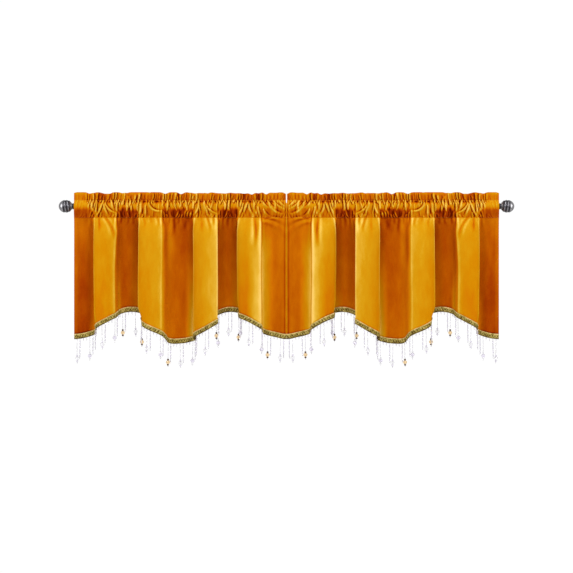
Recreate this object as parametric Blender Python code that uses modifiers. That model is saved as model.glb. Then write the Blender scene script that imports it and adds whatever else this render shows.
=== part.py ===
"""A pair of gathered velvet valances with a beaded fringe, on a rod with ribbed ball finials.

Metres, +Z up. The origin is on the rod's axis at the middle of its length. +X runs along
the rod and the front of the cloth faces -Y. The right valance mirrors the left one.
"""
import math
from collections import namedtuple

import bmesh
import bpy
import numpy as np
from mathutils import Matrix, Vector

MM = 0.001
GAP = 0.3 * MM                     # left between pieces that touch

# Rod and finials
ROD_RADIUS = 8.0 * MM
ROD_HALF = 641.5 * MM
ROD_SIDES = 24
BALL_RADIUS = 19.3 * MM
BALL_CENTRE = 669.4 * MM           # from the middle of the rod to a ball's centre
BALL_FLAT = 17.9 * MM              # centre of a ball to the flat that seats on its collar
BALL_RIBS = 8
BALL_SEGMENTS = 24
BALL_RINGS = 12
RIB_HEIGHT = 0.055                 # share of the ball's radius
RIB_TWIST = 1.1                    # radians that a rib turns from pole to pole

Turned = namedtuple("Turned", "along radius")
COLLAR = (                         # along the rod from its end
    Turned(0.0 * MM, 7.4 * MM),
    Turned(1.0 * MM, 9.2 * MM),
    Turned(2.6 * MM, 9.6 * MM),
    Turned(4.0 * MM, 7.8 * MM),
    Turned(4.6 * MM, 11.4 * MM),
    Turned(6.6 * MM, 12.0 * MM),
)
COLLAR_SIDES = 20
COLLAR_START = ROD_HALF + GAP
COLLAR_END = BALL_CENTRE - BALL_FLAT - GAP

# Cloth
PANEL_WIDTH = 641.0 * MM           # one valance as it hangs, gathered
SLIT_HALF = 0.5 * MM
CLOTH = 2.0 * MM                   # thickness
LEFT_EDGE = -SLIT_HALF - PANEL_WIDTH
TOP = 38.5 * MM                    # top of the ruffle's inner face above the rod's axis
HEADER_SEAM = 17.8 * MM
POCKET_SEAM = -34.4 * MM
LAYER_GAP = 0.5 * MM               # half the space between the two layers where they are sewn

# Folds of one valance, seen from above. Across runs from the outer edge to the slit, and
# depth is minus towards the room. A fold starts in a tuck behind its lip, rises to its
# nose and falls to the floor behind. Fall is how far across it does so, minus where it
# doubles back. The last three columns are the drop of the hem below the rod's axis at the
# lip, at the nose and halfway along the floor that follows.
Fold = namedtuple("Fold", "lip nose lip_depth nose_depth tuck fall floor lip_hem nose_hem floor_hem")
FOLDS = tuple(Fold(*(value * MM for value in row)) for row in (
    (60, 123, -16, -27, 15, 12, 14, 366, 338, 317),
    (193, 266, -16, -36, 33, 16, 9, 356, 390, 416),
    (360, 434, -8, -36, 9, -11, 13, 396, 352, 316),
    (493, 563, -16, -37, 14, 5, 3, 334, 361, 389),
))
EDGE_DEPTH = 4.0 * MM
EDGE_FLOOR = 12.0 * MM
EDGE_HEM = 400.0 * MM
TURN = 5.5 * MM                    # how round the lips and the tucks are
COLUMNS = 70                       # of the cloth's grid, closer together where it turns
TURN_WEIGHT = 15.0 * MM            # how much closer
CURVE_STEPS = 20                   # of the curve in plan between two of its points
GATHER_SPREAD = 70.0 * MM          # cloth each way over which the folds even out on the rod
SPREAD_SAMPLES = 31

# Rows of the cloth's grid. Down is the share of the way from the pocket's seam to the hem.
# Doubled is how far the folds have doubled back there, and deep how far they stand out.
Body = namedtuple("Body", "down doubled deep")
BODY_ROWS = (
    Body(1.0, 1.0, 1.0),
    Body(0.62, 1.0, 1.0),
    Body(0.3, 1.0, 1.0),
    Body(0.16, 0.85, 0.92),
    Body(0.07, 0.3, 0.66),
)
# Height is above the rod's axis, inner is how far the gathers' inner folds lie from the
# plane through that axis, and lean is how much of a gather stands outside them.
Pocket = namedtuple("Pocket", "height inner lean")
POCKET_ROWS = (
    Pocket(POCKET_SEAM, LAYER_GAP, 0.0),
    Pocket(-17.0 * MM, 5.6 * MM, 0.6),
    Pocket(-4.0 * MM, 8.6 * MM, 1.0),
    Pocket(4.5 * MM, 8.15 * MM, 1.0),
    Pocket(HEADER_SEAM, LAYER_GAP, 0.0),
    Pocket(TOP, 1.0 * MM, 0.0),
)
GATHER_DEPTH = 0.80                # share of the spare cloth that stands as gathers
GATHER_PACE = 0.5                  # least width along the rod for a length of cloth
GATHER_LEAST = 8.0 * MM            # from a gather's crest to its hollow, along the rod
GATHER_MOST = 7.5 * MM
GATHER_EDGE = 2                    # crests and hollows that lie flat at each edge
SLIT_OPENING = 2.5 * MM            # how much further the ruffles stand apart at their tops
RUFFLE_DIP = 3.0 * MM              # unevenness of the top edge

# Braid and beaded strings
BRAID_HEIGHT = 14.5 * MM
BRAID_THICKNESS = 1.8 * MM
HEM_GAP = 1.0 * MM                 # upright, between the braid and the sloping hem
STRING_PITCH = 9.8 * MM
STRING_ROOT = 5.0 * MM             # of a string inside the braid
STRING_RADIUS = 0.7 * MM
LONG_STRING = 60.0 * MM
STUB = 9.0 * MM
BEAD_PROFILE = (                   # a long string with its drop, from the braid down
    Turned(0.0 * MM, STRING_RADIUS),
    Turned(46.0 * MM, STRING_RADIUS),
    Turned(63.0 * MM, 5.6 * MM),
    Turned(70.0 * MM, 2.2 * MM),
)
PLAIN_PROFILE = (Turned(0.0, STRING_RADIUS), Turned(LONG_STRING, STRING_RADIUS))
STUB_PROFILE = (Turned(0.0, STRING_RADIUS), Turned(STUB, STRING_RADIUS))
# One repeat of the fringe: a long string with a drop, a plain long one and two stubs
STRING_KINDS = ((BEAD_PROFILE, 4), (PLAIN_PROFILE, 3), (STUB_PROFILE, 3), (STUB_PROFILE, 3))
CLEARANCE = 1.5 * MM               # of a string from the cloth and braid of other folds
NEIGHBOUR = 14.0 * MM              # length of braid that belongs to a string's own fold


def clear_scene():
    for item in list(bpy.data.objects):
        bpy.data.objects.remove(item, do_unlink=True)
    for group in list(bpy.data.collections):
        bpy.data.collections.remove(group)


def collection(name):
    group = bpy.data.collections.new(name)
    bpy.context.scene.collection.children.link(group)
    return group


def material(name, colour, roughness, metallic=0.0):
    finish = bpy.data.materials.new(name)
    finish.use_nodes = True
    shader = finish.node_tree.nodes["Principled BSDF"]
    shader.inputs["Base Color"].default_value = (*colour, 1.0)
    shader.inputs["Roughness"].default_value = roughness
    shader.inputs["Metallic"].default_value = metallic
    return finish


def add_object(name, mesh, group, finish):
    item = bpy.data.objects.new(name, mesh)
    item.data.materials.append(finish)
    group.objects.link(item)
    return item


def mesh_of(bm, name):
    mesh = bpy.data.meshes.new(name)
    bm.to_mesh(mesh)
    bm.free()
    return mesh


def between(start, end, share):
    return start + (end - start) * share


# Folds in plan

def fold_stations():
    """Control points (across, depth) of the cloth in plan, and the hem's drop at some."""
    points = [(0.0, EDGE_DEPTH), (0.5 * FOLDS[0].lip, EDGE_FLOOR - 0.5 * TURN)]
    hems = [(0, EDGE_HEM)]
    floor = EDGE_FLOOR
    for number, fold in enumerate(FOLDS):
        last = number + 1 == len(FOLDS)
        reach = PANEL_WIDTH if last else FOLDS[number + 1].lip
        back = fold.lip + fold.tuck
        points += [
            (back - TURN, floor + 0.6 * TURN),
            (back, floor - TURN),
            (between(fold.lip, back, 0.5), between(floor, fold.lip_depth, 0.55)),
            (fold.lip, fold.lip_depth + TURN),
        ]
        hems.append((len(points) - 1, fold.lip_hem))
        points += [
            (fold.lip + TURN, fold.lip_depth - TURN),
            (between(fold.lip, fold.nose, 0.4), between(fold.lip_depth, fold.nose_depth, 0.6) - TURN),
            (fold.nose - 2.5 * TURN, fold.nose_depth),
            (fold.nose, fold.nose_depth + TURN),
        ]
        hems.append((len(points) - 1, fold.nose_hem))
        foot = fold.nose + fold.fall
        points += [
            (between(fold.nose, foot, 0.6), between(fold.nose_depth, fold.floor, 0.4)),
            (foot, between(fold.nose_depth, fold.floor, 0.72)),
            (between(foot, reach, 0.2), between(fold.nose_depth, fold.floor, 0.95)),
            (between(foot, reach, 0.55), fold.floor),
        ]
        hems.append((len(points) - 1, fold.floor_hem))
        floor = fold.floor
    points.append((PANEL_WIDTH, 0.0))
    hems.append((len(points) - 1, EDGE_HEM))
    return np.array(points), hems


def smooth_path(points):
    """A centripetal Catmull-Rom curve through the points, with CURVE_STEPS between two."""
    ends = [2 * points[0] - points[1], *points, 2 * points[-1] - points[-2]]
    curve = []
    for a, b, c, d in zip(ends, ends[1:], ends[2:], ends[3:]):
        ta = math.sqrt(np.linalg.norm(b - a))
        tb = ta + math.sqrt(np.linalg.norm(c - b))
        tc = tb + math.sqrt(np.linalg.norm(d - c))
        for t in np.linspace(ta, tb, CURVE_STEPS, endpoint=False):
            ab = a + (b - a) * t / ta
            bc = b + (c - b) * (t - ta) / (tb - ta)
            cd = c + (d - c) * (t - tb) / (tc - tb)
            abc = ab + (bc - ab) * t / tb
            bcd = bc + (cd - bc) * (t - ta) / (tc - ta)
            curve.append(abc + (bcd - abc) * (t - ta) / (tb - ta))
    curve.append(points[-1])
    return np.array(curve)


def smooth_values(marks, knots, values):
    """A smooth curve of one value through its knots, level at both ends."""
    slopes = np.gradient(values, knots)
    slopes[0] = slopes[-1] = 0.0
    cell = np.clip(np.searchsorted(knots, marks) - 1, 0, len(knots) - 2)
    width = knots[cell + 1] - knots[cell]
    t = (marks - knots[cell]) / width
    rise = values[cell + 1] - values[cell]
    start, end = slopes[cell] * width, slopes[cell + 1] * width
    bow = t * start + t * t * (3 * rise - 2 * start - end) + t ** 3 * (start + end - 2 * rise)
    return values[cell] + bow


Columns = namedtuple("Columns", "across depth hem along spread gather")


def cloth_columns():
    """The columns of one valance's grid, from its outer edge to the slit."""
    points, hems = fold_stations()
    curve = smooth_path(points)
    pieces = np.diff(curve, axis=0)
    lengths = np.linalg.norm(pieces, axis=1)
    along = np.concatenate([[0.0], np.cumsum(lengths)])
    heading = np.unwrap(np.arctan2(pieces[:, 1], pieces[:, 0]))
    bend = np.abs(np.gradient(heading))
    weight = np.concatenate([[0.0], np.cumsum(lengths + TURN_WEIGHT * bend)])
    marks = np.interp(np.linspace(0.0, weight[-1], COLUMNS), weight, along)
    across = np.interp(marks, along, curve[:, 0])
    depth = np.interp(marks, along, curve[:, 1])
    knots = np.array([along[index * CURVE_STEPS] for index, _ in hems])
    hem = smooth_values(marks, knots, np.array([drop for _, drop in hems]))
    # On the rod the folds even out, but no stretch is crowded past the least pace.
    reached = marks[:, None] + np.linspace(-GATHER_SPREAD, GATHER_SPREAD, SPREAD_SAMPLES)[None, :]
    inside = np.clip(reached, 0.0, along[-1])
    pace = PANEL_WIDTH / along[-1]
    even = (np.interp(inside, along, curve[:, 0]) + pace * (reached - inside)).mean(axis=1)
    steps_across = np.maximum(np.diff(even), GATHER_PACE * np.diff(marks))
    spread = np.concatenate([[0.0], np.cumsum(steps_across)])
    spread *= PANEL_WIDTH / spread[-1]
    return Columns(across, depth, hem, marks, spread, gather_wave(marks, spread))


def gather_wave(marks, spread):
    """How far each column lies behind the gathered cloth's middle, or minus out of it."""
    crests = [0]
    for column in range(1, COLUMNS):
        if spread[column] - spread[crests[-1]] >= GATHER_LEAST:
            crests.append(column)
    crests = np.array(crests)
    spare = np.diff(marks[crests]) ** 2 - np.diff(spread[crests]) ** 2
    heights = GATHER_DEPTH * np.sqrt(np.maximum(spare, 0.0))
    uneven = 1 - 0.15 * (1 - np.cos(1.7 * np.arange(len(heights))))
    heights = np.append(np.minimum(heights * uneven, GATHER_MOST), 0.0)
    heights[:GATHER_EDGE] = heights[-GATHER_EDGE:] = 0.0
    ends = 0.5 * np.where(np.arange(len(crests)) % 2 == 0, 1.0, -1.0) * heights
    place = np.interp(spread, spread[crests], np.arange(len(crests)))
    cell = np.minimum(place.astype(int), len(crests) - 2)
    share = 0.5 - 0.5 * np.cos(math.pi * (place - cell))
    return ends[cell] + share * (ends[cell + 1] - ends[cell])


def cloth_rows(columns):
    """Rows of (x, y, z) of the left valance's inner face, from the hem over the top and down."""
    rows = []
    hem = -columns.hem + BRAID_HEIGHT + HEM_GAP
    for row in BODY_ROWS:
        x = LEFT_EDGE + between(columns.spread, columns.across, row.doubled)
        y = between(columns.gather - LAYER_GAP, columns.depth, row.deep)
        rows.append((x, y, between(POCKET_SEAM, hem, row.down)))
    dip = RUFFLE_DIP * np.cos(0.9 * np.arange(COLUMNS)) * np.sin(0.23 * np.arange(COLUMNS))
    for side, order in ((-1.0, POCKET_ROWS), (1.0, POCKET_ROWS[::-1])):
        for row in order:
            y = side * (row.inner + row.lean * np.abs(columns.gather)) + columns.gather
            share = np.clip((row.height - HEADER_SEAM) / (TOP - HEADER_SEAM), 0.0, 1.0)
            x = LEFT_EDGE + columns.spread * (1 - share * SLIT_OPENING / PANEL_WIDTH)
            z = row.height + share * dip
            rows.append((x, y, z + np.zeros(COLUMNS)))
    return rows


def sheet(name, rows, right, thickness, group, finish):
    """A sheet through the rows of points, thickened outwards."""
    across, up = len(rows[0][0]), len(rows)
    bm = bmesh.new()
    bmesh.ops.create_grid(bm, x_segments=across - 1, y_segments=up - 1, size=1.0)
    bm.verts.ensure_lookup_table()
    sign = -1.0 if right else 1.0
    for line, (x, y, z) in enumerate(rows):
        for column in range(across):
            source = across - 1 - column if right else column
            bm.verts[line * across + column].co = (sign * x[source], y[source], z[source])
    item = add_object(name, mesh_of(bm, name), group, finish)
    wall = item.modifiers.new("Thickness", "SOLIDIFY")
    wall.thickness = thickness
    wall.offset = 1.0
    wall.use_even_offset = True
    return item


# Beaded fringe

def strand_mesh(profile, sides):
    """A closed turned strand that hangs from the origin, with its root above it."""
    bm = bmesh.new()
    line = [Vector((0.0, 0.0, STRING_ROOT)), Vector((profile[0].radius, 0.0, STRING_ROOT))]
    line += [Vector((step.radius, 0.0, -step.along)) for step in profile[1:]]
    line.append(Vector((0.0, 0.0, -profile[-1].along)))
    verts = [bm.verts.new(point) for point in line]
    edges = [bm.edges.new(pair) for pair in zip(verts, verts[1:])]
    bmesh.ops.spin(bm, geom=verts + edges, cent=(0, 0, 0), axis=(0, 0, 1), dvec=(0, 0, 0),
                   angle=math.tau, steps=sides, use_merge=True)
    bmesh.ops.remove_doubles(bm, verts=bm.verts, dist=0.01 * MM)
    bmesh.ops.recalc_face_normals(bm, faces=bm.faces)
    return mesh_of(bm, "strand")


def string_places(columns):
    """Places (across, depth, hem) of the strings along the middle of the braid, and their kinds."""
    total = columns.along[-1]
    count = int(total / STRING_PITCH)
    first = 0.5 * (total - (count - 1) * STRING_PITCH)
    marks = first + STRING_PITCH * np.arange(count)
    line = np.column_stack([columns.across, columns.depth])
    flow = np.gradient(line, columns.along, axis=0)
    flow /= np.linalg.norm(flow, axis=1)[:, None]
    middle = line + 0.5 * BRAID_THICKNESS * np.column_stack([flow[:, 1], -flow[:, 0]])
    fine = np.arange(0.0, total, 0.5 * MM)
    lines = (middle[:, 0], middle[:, 1], columns.hem)
    places = np.column_stack([np.interp(marks, columns.along, row) for row in lines])
    cloth = np.column_stack([np.interp(fine, columns.along, row) for row in lines])
    drop = max(step.radius for step in BEAD_PROFILE)
    wall = 0.5 * BRAID_THICKNESS + CLEARANCE
    kinds = []
    for number, (mark, place) in enumerate(zip(marks, places)):
        elsewhere = np.abs(fine - mark) > NEIGHBOUR
        apart = np.hypot(cloth[:, 0] - place[0], cloth[:, 1] - place[1])
        beside = elsewhere & (cloth[:, 2] > place[2])
        below = elsewhere & (cloth[:, 2] > place[2] + BEAD_PROFILE[1].along)
        kind = number % len(STRING_KINDS)
        if kind == 0 and below.any() and apart[below].min() < drop + wall:
            kind = 1
        if beside.any() and apart[beside].min() < STRING_RADIUS + wall:
            kind = None
        kinds.append(kind)
    return places, kinds


def strings(name, columns, right, group, finish):
    sign = -1.0 if right else 1.0
    kinds = [strand_mesh(profile, sides) for profile, sides in STRING_KINDS]
    bm = bmesh.new()
    for (across, depth, hem), kind in zip(*string_places(columns)):
        if kind is not None:
            first = len(bm.verts)
            bm.from_mesh(kinds[kind])
            bm.verts.ensure_lookup_table()
            place = Vector((sign * (LEFT_EDGE + across), depth, -hem))
            bmesh.ops.translate(bm, verts=bm.verts[first:], vec=place)
    item = add_object(name, mesh_of(bm, name), group, finish)
    item.hide_render = True
    item.display_type = "WIRE"
    return item


def fringe(name, columns, right, parts, cutters, finish):
    """The braid below one valance's hem, with its strings fused in."""
    x = LEFT_EDGE + columns.across
    lower = (x, columns.depth, -columns.hem)
    upper = (x, columns.depth, -columns.hem + BRAID_HEIGHT)
    item = sheet(name, [lower, upper], right, BRAID_THICKNESS, parts, finish)
    join = item.modifiers.new("Strings", "BOOLEAN")
    join.operation = "UNION"
    join.solver = "EXACT"
    join.object = strings(name + "_strings", columns, right, cutters, finish)
    return item


# Rod and finials

def rod(group, finish):
    bm = bmesh.new()
    turn = Matrix.Rotation(math.pi / 2, 4, "Y")
    bmesh.ops.create_cone(bm, cap_ends=True, segments=ROD_SIDES, radius1=ROD_RADIUS, radius2=ROD_RADIUS,
                          depth=2 * ROD_HALF, matrix=turn)
    item = add_object("rod", mesh_of(bm, "rod"), group, finish)
    item.data.shade_smooth()
    item.data.set_sharp_from_angle(angle=math.radians(40))


def collar(name, side, group, finish):
    """A turned collar between the rod's end and the ball."""
    mesh = bpy.data.meshes.new(name)
    steps = [*COLLAR, Turned(COLLAR_END - COLLAR_START, 8.0 * MM)]
    line = [Vector((0.0, 0.0, -COLLAR_START))]
    line += [Vector((step.radius, 0.0, -COLLAR_START - step.along)) for step in steps]
    line.append(Vector((0.0, 0.0, -COLLAR_END)))
    mesh.from_pydata(line, [(i, i + 1) for i in range(len(line) - 1)], [])
    item = add_object(name, mesh, group, finish)
    item.rotation_euler = (0.0, -side * math.pi / 2, 0.0)
    screw = item.modifiers.new("Turn", "SCREW")
    screw.axis = "Z"
    screw.steps = screw.render_steps = COLLAR_SIDES
    screw.use_merge_vertices = True
    screw.merge_threshold = 0.00001


def ball(name, side, group, finish):
    """A ball with twisted ribs, flat where it seats on its collar."""
    bm = bmesh.new()
    bmesh.ops.create_uvsphere(bm, u_segments=BALL_SEGMENTS, v_segments=BALL_RINGS, radius=1.0)
    for vert in bm.verts:
        height = vert.co.z
        ring = math.sqrt(max(0.0, 1.0 - height * height))
        turn = math.atan2(vert.co.y, vert.co.x) + side * RIB_TWIST * height
        rib = 1.0 + RIB_HEIGHT * ring * math.cos(BALL_RIBS * math.atan2(vert.co.y, vert.co.x))
        radius = BALL_RADIUS * ring * rib
        along = max(BALL_RADIUS * height, -BALL_FLAT)
        centre = side * (BALL_CENTRE + along)
        vert.co = (centre, radius * math.cos(turn), side * radius * math.sin(turn))
    item = add_object(name, mesh_of(bm, name), group, finish)
    item.data.shade_smooth()


def build():
    clear_scene()
    parts = collection("fringed_valance_pair")
    cutters = collection("joined_pieces")
    velvet = material("gold_velvet", (0.55, 0.16, 0.005), 0.75)
    braid = material("olive_braid", (0.35, 0.26, 0.06), 0.7)
    pewter = material("dark_pewter", (0.12, 0.12, 0.13), 0.35, 0.9)
    rod(parts, pewter)
    for side, word in ((-1.0, "left"), (1.0, "right")):
        collar("collar_" + word, side, parts, pewter)
        ball("ball_" + word, side, parts, pewter)
    columns = cloth_columns()
    rows = cloth_rows(columns)
    for right, word in ((False, "left"), (True, "right")):
        sheet("valance_" + word, rows, right, CLOTH, parts, velvet)
        fringe("fringe_" + word, columns, right, parts, cutters, braid)


build()
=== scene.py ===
"""A pair of gathered gold velvet valances with an olive braid and beaded strings, on a pewter rod."""
import math
import random
from collections import namedtuple

import bmesh
import bpy
import numpy as np
from mathutils import Matrix, Vector


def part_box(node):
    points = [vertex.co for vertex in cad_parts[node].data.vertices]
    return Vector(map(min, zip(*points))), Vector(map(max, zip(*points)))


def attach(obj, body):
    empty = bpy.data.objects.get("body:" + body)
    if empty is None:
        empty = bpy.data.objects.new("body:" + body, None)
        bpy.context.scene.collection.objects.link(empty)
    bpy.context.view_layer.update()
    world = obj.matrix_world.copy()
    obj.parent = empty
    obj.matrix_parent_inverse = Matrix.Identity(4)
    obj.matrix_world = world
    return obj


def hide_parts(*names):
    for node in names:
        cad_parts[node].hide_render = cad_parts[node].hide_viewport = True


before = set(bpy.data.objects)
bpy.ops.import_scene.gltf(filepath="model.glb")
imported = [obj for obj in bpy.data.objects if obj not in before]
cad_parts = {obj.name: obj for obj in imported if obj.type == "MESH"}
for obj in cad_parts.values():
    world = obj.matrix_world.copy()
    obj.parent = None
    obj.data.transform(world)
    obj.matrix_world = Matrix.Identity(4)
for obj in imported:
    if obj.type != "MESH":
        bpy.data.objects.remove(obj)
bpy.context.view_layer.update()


# Rod. A 16 mm steel tube lacquered dark pewter, with its cut ends eased. It runs through the
# pockets of both valances and its ends sit in the finials' collars.
MM = 0.001
ROD_SEGMENTS = 64
ROD_EASE = 0.8 * MM
SHARP_ANGLE = math.radians(50)     # past which an edge isn't shaded smooth


def screen(red, green, blue):
    """A colour as a screen shows it, in the linear values that a shader takes."""
    values = [value / 255 for value in (red, green, blue)]
    return tuple(v / 12.92 if v <= 0.04045 else ((v + 0.055) / 1.055) ** 2.4 for v in values)


def add_node(finish, kind, links=(), **settings):
    """Adds a shader node, sets its properties or inputs, and joins its inputs to other sockets."""
    node = finish.node_tree.nodes.new(kind)
    for name, value in settings.items():
        setattr(node, name, value)
    for target, source in links:
        if isinstance(source, bpy.types.NodeSocket):
            finish.node_tree.links.new(source, node.inputs[target])
        else:
            node.inputs[target].default_value = source
    return node


def add_ramp(finish, value, stops):
    """A colour ramp over a value, from positions and screen colours."""
    ramp = add_node(finish, "ShaderNodeValToRGB", [("Fac", value)])
    elements = ramp.color_ramp.elements
    while len(elements) > 1:
        elements.remove(elements[-1])
    for number, (position, colour) in enumerate(stops):
        stop = elements[0] if number == 0 else elements.new(position)
        stop.position = position
        stop.color = (*screen(*colour), 1.0)
    return ramp.outputs["Color"]


def add_bump(finish, height, strength, distance):
    bump = add_node(finish, "ShaderNodeBump", [("Height", height), ("Strength", strength),
                                               ("Distance", distance)])
    return bump.outputs["Normal"]


def add_noise(finish, place, scale, detail, roughness=0.5):
    noise = add_node(finish, "ShaderNodeTexNoise", [("Vector", place), ("Scale", scale),
                                                    ("Detail", detail), ("Roughness", roughness)])
    return noise.outputs["Fac"]


def add_range(finish, value, start, end):
    """A value from 0 to 1 turned into one between two others."""
    node = add_node(finish, "ShaderNodeMapRange", [("Value", value), ("To Min", start), ("To Max", end)])
    return node.outputs["Result"]


def around_middle(finish, value, spread):
    """A noise value turned into a shift of up to half the spread either way."""
    shift = add_node(finish, "ShaderNodeMath", [(0, value), (1, spread), (2, -0.5 * spread)],
                     operation="MULTIPLY_ADD")
    return shift.outputs["Value"]


def total(finish, first, *others):
    for other in others:
        sum_node = add_node(finish, "ShaderNodeMath", [(0, first), (1, other)], operation="ADD")
        first = sum_node.outputs["Value"]
    return first


def new_finish(name, **inputs):
    """A material with its shader, whose even values are set on the shader's own sockets."""
    finish = bpy.data.materials.new(name)
    finish.use_nodes = True
    shader = finish.node_tree.nodes["Principled BSDF"]
    for socket, value in inputs.items():
        shader.inputs[socket.replace("_", " ")].default_value = value
    return finish, shader


def dress(finish, shader, **sources):
    for socket, source in sources.items():
        finish.node_tree.links.new(source, shader.inputs[socket.replace("_", " ")])


def finish_piece(bm, name, finishes):
    """Makes the mesh an object that rides on the body, smooth except at its sharp edges."""
    mesh = bpy.data.meshes.new(name)
    bm.to_mesh(mesh)
    bm.free()
    for finish in finishes:
        mesh.materials.append(finish)
    mesh.shade_smooth()
    mesh.set_sharp_from_angle(angle=SHARP_ANGLE)
    piece = bpy.data.objects.new(name, mesh)
    bpy.context.scene.collection.objects.link(piece)
    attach(piece, "root")
    return piece


def pewter_finish(name, roughness, dark, light):
    """Pewter lacquer: fine brush marks, a mottled polish and a few rubbed spots."""
    finish, shader = new_finish(name, Metallic=0.92, Coat_Weight=0.35, Coat_Roughness=0.12)
    place = add_node(finish, "ShaderNodeTexCoord").outputs["Object"]
    patches = add_noise(finish, place, 160.0, 4.0)
    marks = add_noise(finish, place, 1400.0, 2.0)
    dress(finish, shader,
          Base_Color=add_ramp(finish, patches, ((0.3, dark), (0.75, light))),
          Roughness=add_range(finish, patches, roughness - 0.08, roughness + 0.1),
          Normal=add_bump(finish, marks, 0.12, 0.1 * MM))
    return finish


rod_low, rod_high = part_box("rod")
rod_radius = 0.5 * (rod_high.z - rod_low.z)
bm = bmesh.new()
bmesh.ops.create_cone(bm, cap_ends=True, segments=ROD_SEGMENTS, radius1=rod_radius, radius2=rod_radius,
                      depth=rod_high.x - rod_low.x, matrix=Matrix.Rotation(math.pi / 2, 4, "Y"))
rims = [edge for edge in bm.edges if any(len(face.verts) > 4 for face in edge.link_faces)]
bmesh.ops.bevel(bm, geom=rims, offset=ROD_EASE, offset_type="OFFSET", segments=3, profile=0.5,
                affect="EDGES", material=-1)
rod_finish = pewter_finish("pewter_rod", 0.34, (72, 70, 76), (112, 111, 118))
rod = finish_piece(bm, "curtain_rod", [rod_finish])
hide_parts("rod")


# Collars. A turned pewter neck at each end of the rod: a small rounded bead against the cloth,
# a waist, and a wider disc that carries the ball.
COLLAR_SEGMENTS = 64
# Share of the collar's length from the rod, and share of its largest radius
COLLAR_PROFILE = (
    (0.0, 0.55), (0.01, 0.66), (0.06, 0.74), (0.13, 0.785), (0.22, 0.8), (0.32, 0.78), (0.41, 0.73),
    (0.48, 0.68), (0.54, 0.66), (0.59, 0.69), (0.63, 0.78), (0.67, 0.89), (0.72, 0.965), (0.79, 1.0),
    (0.86, 0.99), (0.92, 0.94), (0.96, 0.86), (0.98, 0.78), (1.0, 0.7),
)
NECK_SHADE, DISC_TONE = 0.3, 0.86   # from painted shade on the neck beside the cloth to the disc rubbed bright
DISC_FROM, DISC_FULL = 0.58, 0.72  # shares of the length over which the neck becomes the disc


def between(start, end, share):
    return start + (end - start) * share


def ease(low, high, value):
    """From 0 at low to 1 at high, level at both ends."""
    share = np.clip((value - low) / (high - low), 0.0, 1.0)
    return share * share * (3 - 2 * share)


def set_attribute(piece, name, values):
    attribute = piece.data.attributes.new(name, "FLOAT", "POINT")
    attribute.data.foreach_set("value", np.asarray(values, np.float32))


def antiqued_finish(name):
    """Cast pewter by its own attribute: near black grooves, bright crests, and painted shade on a
    collar's neck.
    """
    finish, shader = new_finish(name, Metallic=0.95, Coat_Weight=0.5, Coat_Roughness=0.08)
    crest = add_node(finish, "ShaderNodeAttribute", attribute_name="crest")
    place = add_node(finish, "ShaderNodeTexCoord").outputs["Object"]
    grain = add_noise(finish, place, 420.0, 5.0)
    wear_and_shade = total(finish, crest.outputs["Fac"], around_middle(finish, grain, 0.3))
    dress(finish, shader,
          Base_Color=add_ramp(finish, wear_and_shade, ((0.1, (34, 31, 37)), (0.5, (92, 90, 96)),
                                             (0.8, (150, 149, 153)), (1.0, (214, 213, 215)))),
          Roughness=add_range(finish, wear_and_shade, 0.4, 0.2),
          Normal=add_bump(finish, grain, 0.15, 0.2 * MM))
    return finish


antiqued_pewter = antiqued_finish("antiqued_pewter")
for side, word in ((-1, "left"), (1, "right")):
    low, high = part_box("collar_" + word)
    length, radius = high.x - low.x, 0.5 * (high.z - low.z)
    start = low.x if side > 0 else -high.x
    bm = bmesh.new()
    line = [bm.verts.new((start, 0, 0))]
    line += [bm.verts.new((start + share * length, 0, radius * wide)) for share, wide in COLLAR_PROFILE]
    line.append(bm.verts.new((start + length, 0, 0)))
    edges = [bm.edges.new(pair) for pair in zip(line, line[1:])]
    bmesh.ops.spin(bm, geom=line + edges, cent=(0, 0, 0), axis=(1, 0, 0), dvec=(0, 0, 0),
                   angle=math.tau, steps=COLLAR_SEGMENTS, use_merge=True)
    bmesh.ops.remove_doubles(bm, verts=bm.verts, dist=0.001 * MM)
    bmesh.ops.scale(bm, vec=(side, 1, 1), verts=bm.verts)
    bmesh.ops.recalc_face_normals(bm, faces=bm.faces)
    shares = [(abs(vert.co.x) - start) / length for vert in bm.verts]
    collar = finish_piece(bm, "finial_collar_" + word, [antiqued_pewter])
    # the neck is painted dark as shade beside the cloth, and the disc is rubbed bright
    set_attribute(collar, "crest", [between(NECK_SHADE, DISC_TONE, ease(DISC_FROM, DISC_FULL, share))
                                    for share in shares])
    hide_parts("collar_" + word)


# Ball finials. A cast pewter ball at each end, with raised ribs that wind round it from the
# collar to a smooth tip. The grooves hold dark antiquing and the crests are rubbed bright.
BALL_SEGMENTS = 128
BALL_RINGS = 112
BALL_LENGTH = 39.0 * MM            # along the rod
BALL_WIDTH = 38.4 * MM             # across its ribs
TIP_INSET = 1.4 * MM               # from the end of the CAD ball
BLUNT = 3.1                        # power of the ball's outline on its collar's side, where 2 is round
RIBS = 2
RIB_RISE = 0.07                    # share of the ball's radius
RIB_SWIRL = -6.4                   # radians that a rib turns over one radius along the rod
RIB_SECTION = 0.6                  # power of a rib's wave, where less is fuller
TIP_START, TIP_END = 0.28, 0.38    # where the ribs run out, from the ball's middle to its tip
TIP_RISE = 0.7                     # of the smooth tip, as a share of a rib's
CREST_TONE, TIP_TONE = 0.72, 0.84  # from dark antiquing to rubbed bright
CREST_SECTION = 1.3                # power with which a crest darkens into its grooves

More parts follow.
